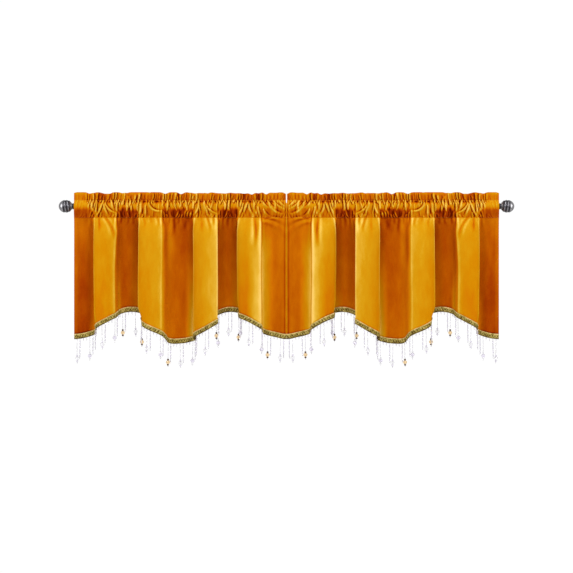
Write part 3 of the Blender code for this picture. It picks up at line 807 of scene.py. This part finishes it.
def painted_body_shading(across, z, along, down, at_seam):
    """The painted light and shade of the hanging cloth, by its fold and height, with painted patches."""
    painted_shading = between(at_seam, np.interp(along, shading_knots, shading_hems), down)
    # painted highlights along each lip and each nose
    for arc in fold_arcs:
        lip_edge = arc["lip"] + between(*LIP_EDGE, down ** 3)
        painted_shading = painted_shading + LIP_GLOW * hump(along, lip_edge, LIP_REACH)
        painted_shading = painted_shading + NOSE_GLOW * hump(along, arc["nose"] - NOSE_EDGE, NOSE_REACH)
    # painted light that spills over the shade by the tucks and the feet
    for spill in SPILLS:
        past = along - fold_arcs[spill.fold][spill.place]
        fade = np.clip(1 - np.where(past < 0, -past / spill.before, past / spill.after) / MM, 0.0, 1.0)
        painted_shading = painted_shading + spill.tone * ease(spill.start, spill.full, down) * fade
    # painted patches of shade and light
    for place, height, wide, tall, tone in PAINTED_PATCHES:
        painted_shading = painted_shading + tone * hump(across, place * MM, wide * MM) * hump(z, height * MM, tall * MM)
    # painted shadow of the braid on the cloth just above it
    braid_top = BRAID_HEIGHT + BRAID_SHADE_UP - hem_drop(along)
    painted_shading = painted_shading - BRAID_SHADE * hump(z, braid_top, BRAID_SHADE_REACH)
    # a painted highlight along the outer side hem
    return painted_shading + SIDE_GLOW * (1 - ease(SIDE_HEM - SIDE_GLOW_STEP, SIDE_HEM, along))


def painted_header_shading(z, along, on_rod, rise, behind, at_seam):
    """The painted light and shade of the pocket and of the ruffle above it."""
    last = fold_arcs[-1]
    under = UNDER_TONE + UNDER_SHARE * (at_seam - UNDER_FROM) \
        + UNDER_LAST * ease(last["nose"], last["foot"], along)
    under = np.where(behind, UNDER_BEHIND, under + TONE_SWAY * sway_on_rod(on_rod, UNDER_PACE))
    ragged = RAGGED * sway_on_rod(on_rod, RAGGED_PACE)
    for radians, start in RAGGED_WAVES:
        ragged = ragged + RAGGED_FINE * np.sin(on_rod * radians + start)
    flame = z + FLAME_REACH * np.clip(rise, 0.0, FLAME_MOST) + ragged
    pocket = between(under, POCKET_TONE, ease(*FLAMES, flame))
    ruffle = between(*RUFFLE_TONE, ease(HEADER_SEAM, TOP, z))
    ruffle = ruffle + RIM_GLOW * ease(TOP - RIM_STARTS, TOP - RIM_FULL, z)
    ruffle = ruffle + TONE_SWAY * sway_on_rod(on_rod)
    for place, tone, half_width in RUFFLE_TONES:
        ruffle = ruffle + tone * hump(on_rod, place * MM, half_width * MM)
    return between(pocket, ruffle, ease(HEADER_SEAM - 0.7 * MM, HEADER_SEAM + 1.3 * MM, z))


def painted_ridge_shading(z, tilt, on_rod, rise, in_header):
    """Painted light on the creases' lit sides and crests, and painted shade in their hollows."""
    turned = between(*TILT_GLOW, in_header) * (tilt @ np.array(LIT_FROM))
    calm = between(CALM_SHARE, 1.0, ease(SMOOTH_END * MM - CALM_STEP, SMOOTH_END * MM, on_rod))
    raised, sunk = np.clip(rise / RIDGE_FULL, 0.0, RIDGE_MOST), np.clip(-rise / HOLLOW_FULL, 0.0, 1.0)
    in_ruffle = ease(HEADER_SEAM, HEADER_SEAM + 4 * MM, z)
    raising, sinking = between(*RIDGE_GLOW, in_ruffle), between(*HOLLOW_SHADE, in_ruffle)
    return turned + in_header * calm * (raising * raised - sinking * sunk - HEADER_SHADE)


def painted_pit_shade(z, on_rod, rise):
    """Where the painted shade of the pits falls, between the ridges just below the ruffle's sewing."""
    hollow = 1 - np.clip(rise / RIDGE_FULL, 0.0, 1.0)
    pits = hump(z, HEADER_SEAM - PITS_DOWN, PITS_REACH) * hollow * ease(PITS_FROM, PITS_FULL, on_rod)
    return pits * ease(PANEL - PITS_FROM, PANEL - PITS_FULL, on_rod)


def painted_pile_shading(across, z, tilt, along, on_rod, rise, behind):
    """The painted light and shade of the pile: by its fold and height, and by what the creases do to it.
    """
    down = np.clip((POCKET_SEAM - z) / (hem_drop(along) + POCKET_SEAM), 0.0, 1.0)
    at_seam = np.interp(along, shading_knots, shading_tops)
    in_header = ease(POCKET_SEAM - 1 * MM, POCKET_SEAM + 1 * MM, z)
    shown = between(painted_body_shading(across, z, along, down, at_seam),
                    painted_header_shading(z, along, on_rod, rise, behind, at_seam), in_header)
    shown = shown + painted_ridge_shading(z, tilt, on_rod, rise, in_header)
    # a painted highlight where the two valances meet, with painted shade beside it
    shown = shown + (SLIT_GLOW * hump(along, SPAN, SLIT_REACH)
                     - SLIT_SHADE * hump(along, SPAN - SLIT_LINE, SLIT_LINE_REACH))
    # painted shade along the pocket's seam, away from the slit
    sewn = ease(PANEL - SEAM_FADE[0], PANEL - SEAM_FADE[1], on_rod)
    shown = shown - SEAM_SHADE * hump(z, POCKET_SEAM, SEAM_REACH) * sewn
    shown = shown - PIT_SHADE * painted_pit_shade(z, on_rod, rise)
    return np.clip(shown, 0.0, between(1.0, HEADER_BRIGHTEST, in_header))


def velvet_finish():
    """Cotton velvet: painted light and shade set its colour, with crushed patches, short nap and a warm
    sheen.
    """
    finish, shader = new_finish("gold_velvet", Roughness=0.85, Sheen_Weight=0.12, Sheen_Roughness=0.4,
                                Sheen_Tint=(1.0, 0.5, 0.04, 1.0), Specular_IOR_Level=0.0)
    painted_shading = add_node(finish, "ShaderNodeAttribute", attribute_name="painted_shading").outputs["Fac"]
    place = add_node(finish, "ShaderNodeTexCoord").outputs["Object"]
    hanging = add_node(finish, "ShaderNodeMapping", [("Vector", place), ("Scale", (38.0, 38.0, 13.0))])
    crush = add_noise(finish, hanging.outputs["Vector"], 1.0, 4.0, 0.6)
    nap = add_noise(finish, place, 700.0, 2.0)
    shown = total(finish, painted_shading, around_middle(finish, crush, 0.3), around_middle(finish, nap, 0.12))
    # the ramp runs from the deepest painted shade to the palest painted highlight
    dress(finish, shader,
          Base_Color=add_ramp(finish, shown, (
              (0.0, (92, 18, 0)), (0.1, (137, 42, 2)), (0.2, (162, 62, 2)), (0.33, (182, 87, 2)),
              (0.46, (199, 109, 4)), (0.6, (202, 130, 4)), (0.72, (206, 147, 16)), (0.85, (222, 174, 56)),
              (1.0, (246, 204, 106)))),
          Normal=add_bump(finish, nap, 0.3, 0.4 * MM))
    return finish


def wrong_side_finish():
    """The velvet's plain back: a fine dull weave without pile."""
    finish, shader = new_finish("velvet_back", Roughness=0.92, Specular_IOR_Level=0.1)
    place = add_node(finish, "ShaderNodeTexCoord").outputs["Object"]
    weave = add_noise(finish, place, 900.0, 1.0)
    dress(finish, shader,
          Base_Color=add_ramp(finish, weave, ((0.3, (168, 92, 14)), (0.7, (194, 116, 26)))),
          Normal=add_bump(finish, weave, 0.3, 0.2 * MM))
    return finish


def pair_of(bm):
    """The left half of the pair, and the right one, which is the left one seen in a mirror."""
    mirrored = bm.copy()
    bmesh.ops.scale(mirrored, vec=(-1, 1, 1), verts=mirrored.verts)
    bmesh.ops.reverse_faces(mirrored, faces=mirrored.faces)
    return {"left": bm, "right": mirrored}


bm = bmesh.new()
bmesh.ops.create_grid(bm, x_segments=COLUMNS - 1, y_segments=len(row_part) - 1, size=1.0)
bm.verts.ensure_lookup_table()
for number, vert in enumerate(bm.verts):
    vert.co = (number % COLUMNS, number // COLUMNS, 0.0)
level = [edge for edge in bm.edges
         if abs(edge.verts[0].co.y - edge.verts[1].co.y) < 0.5
         and FRONT_START <= edge.verts[0].co.y <= FRONT_END]
bmesh.ops.subdivide_edges(bm, edges=level, cuts=FRONT_CUTS, use_grid_fill=True)
grid = np.array([vert.co for vert in bm.verts])
grid_rows = np.rint(grid[:, 1]).astype(int)
# normals without the creases and with them, whose difference sets the painted light on the creases
normals = []
for creased in (False, True):
    x, y, z, along, on_rod, rise = cloth_points(grid[:, 0], grid_rows, creased)
    for vert, place in zip(bm.verts, zip(x, y, z)):
        vert.co = place
    bm.normal_update()
    normals.append(np.array([vert.normal for vert in bm.verts]))
behind = row_part[grid_rows] == BEHIND
tilt = normals[1] - normals[0]
tilt[behind, 1] *= -1              # the back gets the painted light it would have if it faced the room
# painted light and shade of the pile, kept on the mesh
painted_shading = painted_pile_shading(x + PANEL, z, tilt, along, on_rod, rise, behind)
velvets = [velvet_finish(), wrong_side_finish()]
for word, half in pair_of(bm).items():
    valance = finish_piece(half, "velvet_valance_" + word, velvets)
    set_attribute(valance, "painted_shading", painted_shading)
    wall = valance.modifiers.new("Cloth", "SOLIDIFY")
    wall.thickness = CLOTH
    wall.offset = 1.0
    wall.material_offset = 1
    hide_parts("valance_" + word)


# Sewing. Gold thread goes through both layers in two rows of short straight stitches, one under
# the ruffle and one along the pocket's foot, and shows on the front and on the back.
STITCH_PITCH = 3.4 * MM
STITCH_LENGTH = 2.3 * MM
STITCH_RADIUS = 0.32 * MM
STITCH_TILT = math.radians(6)
SEAM_START, SEAM_END = 2.0 * MM, 1.5 * MM   # from a panel's outer edge, and from the slit
CUT_EDGE = 1.5 * MM                # from the pocket's foot to the lower row behind


def thread_finish():
    """Twisted polyester thread, a little glossier than the pile."""
    finish, shader = new_finish("gold_thread", Roughness=0.5, Specular_IOR_Level=0.3)
    place = add_node(finish, "ShaderNodeTexCoord").outputs["Object"]
    twist = add_node(finish, "ShaderNodeTexWave", [("Vector", place), ("Scale", 900.0)],
                     bands_direction="DIAGONAL").outputs["Fac"]
    dress(finish, shader,
          Base_Color=add_ramp(finish, twist, ((0.1, (166, 92, 6)), (0.9, (214, 140, 24)))),
          Normal=add_bump(finish, twist, 0.4, 0.1 * MM))
    return finish


fine_columns = np.linspace(0.0, COLUMNS - 1, FINE_STEPS)
fine_places = place_on_rod(np.interp(fine_columns, np.arange(COLUMNS), marks_along))
stitch_places = np.arange(SEAM_START, PANEL - SEAM_END, STITCH_PITCH)
stitch_columns = np.interp(stitch_places, fine_places, fine_columns)
stitch_turn = Matrix.Rotation(math.pi / 2 + STITCH_TILT, 4, "Y")
bm = bmesh.new()
for seam_row in (FRONT_START, HEADER_SEAM_ROW, HEADER_SEAM_BEHIND, LAST_ROW):
    rows = np.full(len(stitch_columns), seam_row)
    x, y, z, *_ = cloth_points(stitch_columns, rows, True)
    out = -CLOTH if row_part[seam_row] == FRONT else CLOTH
    lift = CUT_EDGE if seam_row == LAST_ROW else 0.0
    for place in zip(x, y + out, z + lift):
        bmesh.ops.create_cone(bm, cap_ends=True, segments=5, radius1=STITCH_RADIUS, radius2=STITCH_RADIUS,
                              depth=STITCH_LENGTH, matrix=Matrix.Translation(place) @ stitch_turn)
gold_thread = thread_finish()
seams = {word: finish_piece(half, "stitches_" + word, [gold_thread])
         for word, half in pair_of(bm).items()}


# Braid. A woven olive-gold gimp, 16 mm wide, sewn flat on the front of each scalloped hem so
# that its lower half hangs free. Two cords scroll over and under each other along it, between a
# pale cord along its top and a darker one along its foot.
BRAID_INNER = CLOTH + 0.1 * MM     # from the cloth's inner face
BRAID_CORE = 1.0 * MM              # thickness of its ground
BRAID_RELIEF = 0.9 * MM            # height of its cords on that
BRAID_STEP = 1.5 * MM              # of its grid, along the hem
BRAID_ROWS, BRAID_ROWS_BEHIND = 14, 3
SCROLL_PITCH = 15.0 * MM
SCROLL_REACH = 3.7 * MM
SCROLL_RADIUS = 1.8 * MM
TOP_CORD, FOOT_CORD = 1.3 * MM, 1.0 * MM    # radii of the straight cords
CORD_TWIST = 3.0 * MM
SCROLL_DIP, TWIST_DIP = 0.2, 0.15  # half the share by which a cord sinks under another, and in its twist
# Painted highlight on the cords' crests and painted shade on the ground between them, and how much
# paler the top is and darker the foot
CORD_HIGHLIGHT, GROUND_SHADE, TOP_GLOW, FOOT_SHADE = 0.7, 0.04, 0.5, 0.25
TOP_FADE = (3.4 * MM, 2.2 * MM)    # below its top, where that starts and is full
FOOT_FADE = (0.5 * MM, 3.5 * MM)   # above its foot, where that is full and ends


def braid_relief(along, height):
    """Height of the braid's cords above its ground, as a share of a cord's radius."""
    phase = math.tau * along / SCROLL_PITCH
    relief = np.zeros_like(along)
    for turn in (0.0, math.pi):
        centre = 0.5 * BRAID_HEIGHT + SCROLL_REACH * np.sin(phase + turn)
        slant = np.cos(np.arctan(math.tau * SCROLL_REACH / SCROLL_PITCH * np.cos(phase + turn)))
        near = np.abs(height - centre) * slant / SCROLL_RADIUS
        over = 1 - SCROLL_DIP + SCROLL_DIP * np.cos(phase + turn)
        relief = np.maximum(relief, over * np.sqrt(np.clip(1 - near * near, 0.0, 1.0)))
    for centre, radius in ((BRAID_HEIGHT - TOP_CORD, TOP_CORD), (FOOT_CORD, FOOT_CORD)):
        near = np.abs(height - centre) / radius
        twist = 1 - TWIST_DIP + TWIST_DIP * np.cos(math.tau * along / CORD_TWIST + 2 * near)
        relief = np.maximum(relief, twist * np.sqrt(np.clip(1 - near * near, 0.0, 1.0)))
    return relief


def gimp_finish():
    """Rayon gimp of twisted olive gold threads: painted shade between the cords, painted highlights on
    them, pale on top.
    """
    finish, shader = new_finish("olive_gimp", Roughness=0.65, Sheen_Weight=0.15, Sheen_Roughness=0.4,
                                Sheen_Tint=(0.9, 0.8, 0.4, 1.0), Specular_IOR_Level=0.2)
    cord = add_node(finish, "ShaderNodeAttribute", attribute_name="cord").outputs["Fac"]
    place = add_node(finish, "ShaderNodeTexCoord").outputs
    threads = add_node(finish, "ShaderNodeTexWave", [("Vector", place["UV"]), ("Scale", 620.0),
                                                     ("Distortion", 1.5), ("Detail", 1.0)],
                       bands_direction="DIAGONAL").outputs["Fac"]
    uneven = add_noise(finish, place["Object"], 150.0, 2.0)
    pale = total(finish, cord, around_middle(finish, threads, 0.18), around_middle(finish, uneven, 1.5))
    dress(finish, shader,
          Base_Color=add_ramp(finish, pale, ((0.02, (70, 50, 4)), (0.3, (128, 106, 30)),
                                             (0.6, (176, 162, 86)), (0.85, (210, 178, 110)),
                                             (1.0, (234, 204, 144)))),
          Normal=add_bump(finish, threads, 0.5, 0.2 * MM))
    return finish


count = int(SPAN / BRAID_STEP) + 1
heights = np.concatenate([np.linspace(BRAID_HEIGHT, 0.0, BRAID_ROWS),
                          np.linspace(0.0, BRAID_HEIGHT, BRAID_ROWS_BEHIND)])
worked = np.concatenate([np.ones(BRAID_ROWS), np.zeros(BRAID_ROWS_BEHIND)])
lines = len(heights) + 1
bm = bmesh.new()
bmesh.ops.create_grid(bm, x_segments=count - 1, y_segments=lines - 1, size=1.0)
bm.verts.ensure_lookup_table()
number = np.arange(count * lines)
line = (number // count) % len(heights)
along = np.linspace(0.0, SPAN, count)[number % count]
height = heights[line]
across, depth, out_x, out_y = place_in_plan(along, height)
relief = braid_relief(along, height) * worked[line]
out = BRAID_INNER + worked[line] * BRAID_CORE + relief * BRAID_RELIEF
x = across - PANEL + out * out_x
y = depth + out * out_y
z = height - hem_drop(along)
for vert, place in zip(bm.verts, zip(x, y, z)):
    vert.co = place
uv_layer = bm.loops.layers.uv.new("UVMap")
for face in bm.faces:
    for loop in face.loops:
        loop[uv_layer].uv = (along[loop.vert.index], height[loop.vert.index])
top_pale = ease(BRAID_HEIGHT - TOP_FADE[0], BRAID_HEIGHT - TOP_FADE[1], height) * worked[line]
foot_dark = 1 - ease(*FOOT_FADE, height)
# the cords' crests get a painted highlight and the ground between them painted shade
cord = CORD_HIGHLIGHT * relief - GROUND_SHADE + TOP_GLOW * top_pale - FOOT_SHADE * foot_dark
cord_layer = bm.verts.layers.float.new("cord")
for vert, value in zip(bm.verts, np.clip(cord, 0.0, 1.0)):
    vert[cord_layer] = value
bmesh.ops.remove_doubles(bm, verts=bm.verts, dist=0.001 * MM)
bmesh.ops.holes_fill(bm, edges=[edge for edge in bm.edges if edge.is_boundary], sides=0)
bmesh.ops.recalc_face_normals(bm, faces=bm.faces)
gimp = gimp_finish()
for word, half in pair_of(bm).items():
    finish_piece(half, "gimp_braid_" + word, [gimp])
    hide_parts("fringe_" + word)


# Beaded strings. Lilac and clear crystal beads on a fine thread hang from the braid's foot. Every
# fourth string ends in a pale amber ball between two dark caps, with short tassels in between.
STRING_PITCH = 9.8 * MM
STRING_SWAY = 0.025                # radians
THREAD_RADIUS = 0.25 * MM
THREAD_ROOT = 2 * MM               # of a thread inside the braid
BALL_FROM = 3                      # radius in mm past which a bead is a ball with more sides
Bead = namedtuple("Bead", "down radius length finish")     # how far down its string, in mm


def crystal_finish(name, colour, roughness, weight):
    """Pressed glass with slight facets that catch the light."""
    finish, shader = new_finish(name, Base_Color=(*screen(*colour), 1.0), Roughness=roughness, IOR=1.45,
                                Transmission_Weight=weight)
    place = add_node(finish, "ShaderNodeTexCoord").outputs["Object"]
    cut = add_node(finish, "ShaderNodeTexVoronoi", [("Vector", place), ("Scale", 700.0)])
    dress(finish, shader, Normal=add_bump(finish, cut.outputs["Distance"], 0.15, 0.3 * MM))
    return finish


bead_finishes = [
    crystal_finish("bead_thread", (238, 236, 238), 0.6, 0.5),
    crystal_finish("clear_crystal", (250, 249, 252), 0.08, 0.85),
    crystal_finish("lilac_crystal", (238, 233, 246), 0.1, 0.78),
    crystal_finish("amber_crystal", (246, 216, 168), 0.05, 0.85),
    crystal_finish("dark_bead", (88, 58, 34), 0.2, 0.1),
]
THREAD, CLEAR, LILAC, AMBER, DARK = range(5)


def drop_string(cap, ball):
    """Small crystals, then a ball between two caps, and a clear tail."""
    beads = [Bead(2.2, 1.6, 3.2, LILAC)]
    beads += [Bead(5.6 + 3.9 * step, 1.0, 3.6, CLEAR if step % 2 else LILAC) for step in range(12)]
    return beads + [Bead(50.6, 3.2, 5.4, cap), Bead(58.6, 6.2, 11.4, ball), Bead(66.4, 3.3, 5.0, cap),
                    Bead(70.8, 1.9, 4.8, CLEAR)]


LONG_STRING = [Bead(3.0 + 4.9 * step, 1.9 + 0.3 * (step % 2), 4.8, LILAC if step % 3 else CLEAR)
               for step in range(11)]
LONG_STRING += [Bead(57.0, 1.5, 5.4, CLEAR)]
STUB_STRING = [Bead(2.6, 1.8, 4.2, LILAC), Bead(6.8, 1.3, 4.0, CLEAR)]
STRING_KINDS = (LONG_STRING, STUB_STRING, drop_string(LILAC, CLEAR), drop_string(DARK, AMBER),
                drop_string(CLEAR, LILAC))
LONG, STUB = 0, 1                  # the other kinds are drops
DROPS = (2, 4, 3)                  # which take turns
GROUP = 4                          # strings: a drop, a long one and two stubs
DROP_RADIUS = 5.6 * MM             # room that a drop needs from the folds beside it
DROP_DOWN = 52.0 * MM
CLEARANCE = 2.4 * MM
IN_THE_WAY = 30.0 * MM             # a lower fold closer than this leaves no room for a string
LOWER_BY = 2 * MM
NEIGHBOUR = 40.0 * MM              # length of braid that belongs to a string's own fold
STRING_OUT = 2.0 * MM              # from the cloth's inner face, in the middle of the braid


def string_mesh(beads):
    """One string that hangs from the origin, with its beads threaded on it."""
    bm = bmesh.new()
    length = (beads[-1].down + 0.4 * beads[-1].length) * MM
    bmesh.ops.create_cone(bm, cap_ends=True, segments=5, radius1=THREAD_RADIUS, radius2=THREAD_RADIUS,
                          depth=length + THREAD_ROOT,
                          matrix=Matrix.Translation((0, 0, 0.5 * THREAD_ROOT - 0.5 * length)))
    for face in bm.faces:
        face.material_index = THREAD
    for bead in beads:
        round_one = bead.radius > BALL_FROM
        made = bmesh.ops.create_uvsphere(bm, u_segments=16 if round_one else 8,
                                         v_segments=10 if round_one else 6, radius=1.0)
        bmesh.ops.scale(bm, vec=(bead.radius * MM, bead.radius * MM, 0.5 * bead.length * MM),
                        verts=made["verts"])
        bmesh.ops.translate(bm, vec=(0, 0, -bead.down * MM), verts=made["verts"])
        for vert in made["verts"]:
            for face in vert.link_faces:
                face.material_index = bead.finish
    mesh = bpy.data.meshes.new("string")
    bm.to_mesh(mesh)
    bm.free()
    return mesh


def string_places():
    """Where the strings hang from the braid, and each one's kind, or None where a fold is in its way."""
    count = int(SPAN / STRING_PITCH)
    marks = 0.5 * (SPAN - (count - 1) * STRING_PITCH) + STRING_PITCH * np.arange(count)
    fine = np.arange(0.0, SPAN, 0.5 * MM)
    cloth_x, cloth_y, *_ = place_in_plan(fine)
    cloth_drop = hem_drop(fine)
    across, depth, out_x, out_y = place_in_plan(marks)
    across, depth = across + STRING_OUT * out_x, depth + STRING_OUT * out_y
    drops = hem_drop(marks)
    kinds = []
    for number, mark in enumerate(marks):
        elsewhere = np.abs(fine - mark) > NEIGHBOUR
        apart = np.hypot(cloth_x - across[number], cloth_y - depth[number])
        beside = elsewhere & (cloth_drop > drops[number] + LOWER_BY)
        below = elsewhere & (cloth_drop > drops[number] + DROP_DOWN)
        group, turn = divmod(number, GROUP)
        kind = (DROPS[group % len(DROPS)], LONG, STUB, STUB)[turn]
        if kind in DROPS and below.any() and apart[below].min() < DROP_RADIUS + CLEARANCE:
            kind = LONG
        if beside.any() and apart[beside].min() < IN_THE_WAY:
            kind = None
        kinds.append(kind)
    return across, depth, drops, kinds


draw = random.Random(41)
string_meshes = [string_mesh(beads) for beads in STRING_KINDS]
bm = bmesh.new()
for across, depth, drop, kind in zip(*string_places()):
    turn, sway = draw.uniform(0, math.tau), draw.uniform(-STRING_SWAY, STRING_SWAY)
    if kind is None:
        continue
    first = len(bm.verts)
    bm.from_mesh(string_meshes[kind])
    bm.verts.ensure_lookup_table()
    new = bm.verts[first:]
    bmesh.ops.rotate(bm, verts=new, cent=(0, 0, 0), matrix=Matrix.Rotation(turn, 3, "Z"))
    bmesh.ops.rotate(bm, verts=new, cent=(0, 0, 0), matrix=Matrix.Rotation(sway, 3, "Y"))
    bmesh.ops.translate(bm, verts=new, vec=(across - PANEL, depth, -drop))
for word, half in pair_of(bm).items():
    beaded = finish_piece(half, "beaded_strings_" + word, bead_finishes)


# Room. A pale floor below the hanging pair, a white surround, two large soft lights in front, one
# above and one at each side, and a long lens straight on at the photograph's height.
FRAME_WIDTH = 1.7287               # metres that the picture spans at the rod's axis
CAMERA_DISTANCE = 8.0
CAMERA_HEIGHT = -0.242             # from the rod's axis
SENSOR = 36.0
FLOOR_HALF = (2.4, 2.0, 1.0)       # half its width and depth
FLOOR_PLACE = (0.0, -0.5, -1.3)    # its middle
# Strength of the surround on the cloth, and of what shows of it in the picture
ROOM_LIGHT, ROOM_WHITE = 0.5, 1.02
LIGHT_AIM = Vector((0.0, 0.0, -0.2))

bm = bmesh.new()
bmesh.ops.create_grid(bm, x_segments=1, y_segments=1, size=1.0)
bmesh.ops.scale(bm, vec=FLOOR_HALF, verts=bm.verts)
bmesh.ops.translate(bm, vec=FLOOR_PLACE, verts=bm.verts)
floor_mesh = bpy.data.meshes.new("floor")
bm.to_mesh(floor_mesh)
bm.free()
floor_finish, _ = new_finish("pale_floor", Base_Color=(0.86, 0.85, 0.84, 1.0), Roughness=0.9)
floor_mesh.materials.append(floor_finish)
floor = bpy.data.objects.new("floor", floor_mesh)
bpy.context.scene.collection.objects.link(floor)

world = bpy.data.worlds.new("white_room")
world.use_nodes = True
sky = world.node_tree.nodes["Background"]
path = add_node(world, "ShaderNodeLightPath").outputs
seen = add_node(world, "ShaderNodeMath", [(0, path["Is Camera Ray"]), (1, path["Is Transmission Ray"])],
                operation="MAXIMUM")
dress(world, sky, Strength=add_range(world, seen.outputs["Value"], ROOM_LIGHT, ROOM_WHITE))
sky.inputs["Color"].default_value = (1.0, 1.0, 1.0, 1.0)
bpy.context.scene.world = world

# Each light's place, width, height and power in watts
for name, place, width, height, power in (
    ("soft_left", (-1.8, -2.8, 1.3), 1.6, 1.6, 36.0),
    ("soft_right", (1.8, -2.8, 1.3), 1.6, 1.6, 36.0),
    ("soft_above", (0.0, -0.9, 2.2), 1.8, 1.8, 19.0),
    ("side_left", (-2.15, -0.62, 0.2), 0.8, 1.6, 8.5),
    ("side_right", (2.15, -0.62, 0.2), 0.8, 1.6, 8.5),
):
    lamp = bpy.data.lights.new(name, "AREA")
    lamp.shape = "ELLIPSE"
    lamp.size = width
    lamp.size_y = height
    lamp.energy = power
    light = bpy.data.objects.new(name, lamp)
    light.location = place
    light.rotation_mode = "QUATERNION"
    light.rotation_quaternion = (LIGHT_AIM - Vector(place)).to_track_quat("-Z", "Y")
    light.visible_camera = False
    bpy.context.scene.collection.objects.link(light)

lens = bpy.data.cameras.new("camera")
lens.sensor_width = SENSOR
lens.lens = SENSOR * CAMERA_DISTANCE / FRAME_WIDTH
lens.clip_end = 50.0
camera = bpy.data.objects.new("camera", lens)
camera.location = (0.0, -CAMERA_DISTANCE, CAMERA_HEIGHT)
camera.rotation_euler = (math.pi / 2, 0.0, 0.0)
bpy.context.scene.collection.objects.link(camera)
bpy.context.scene.camera = camera
bpy.context.scene.view_settings.view_transform = "Standard"
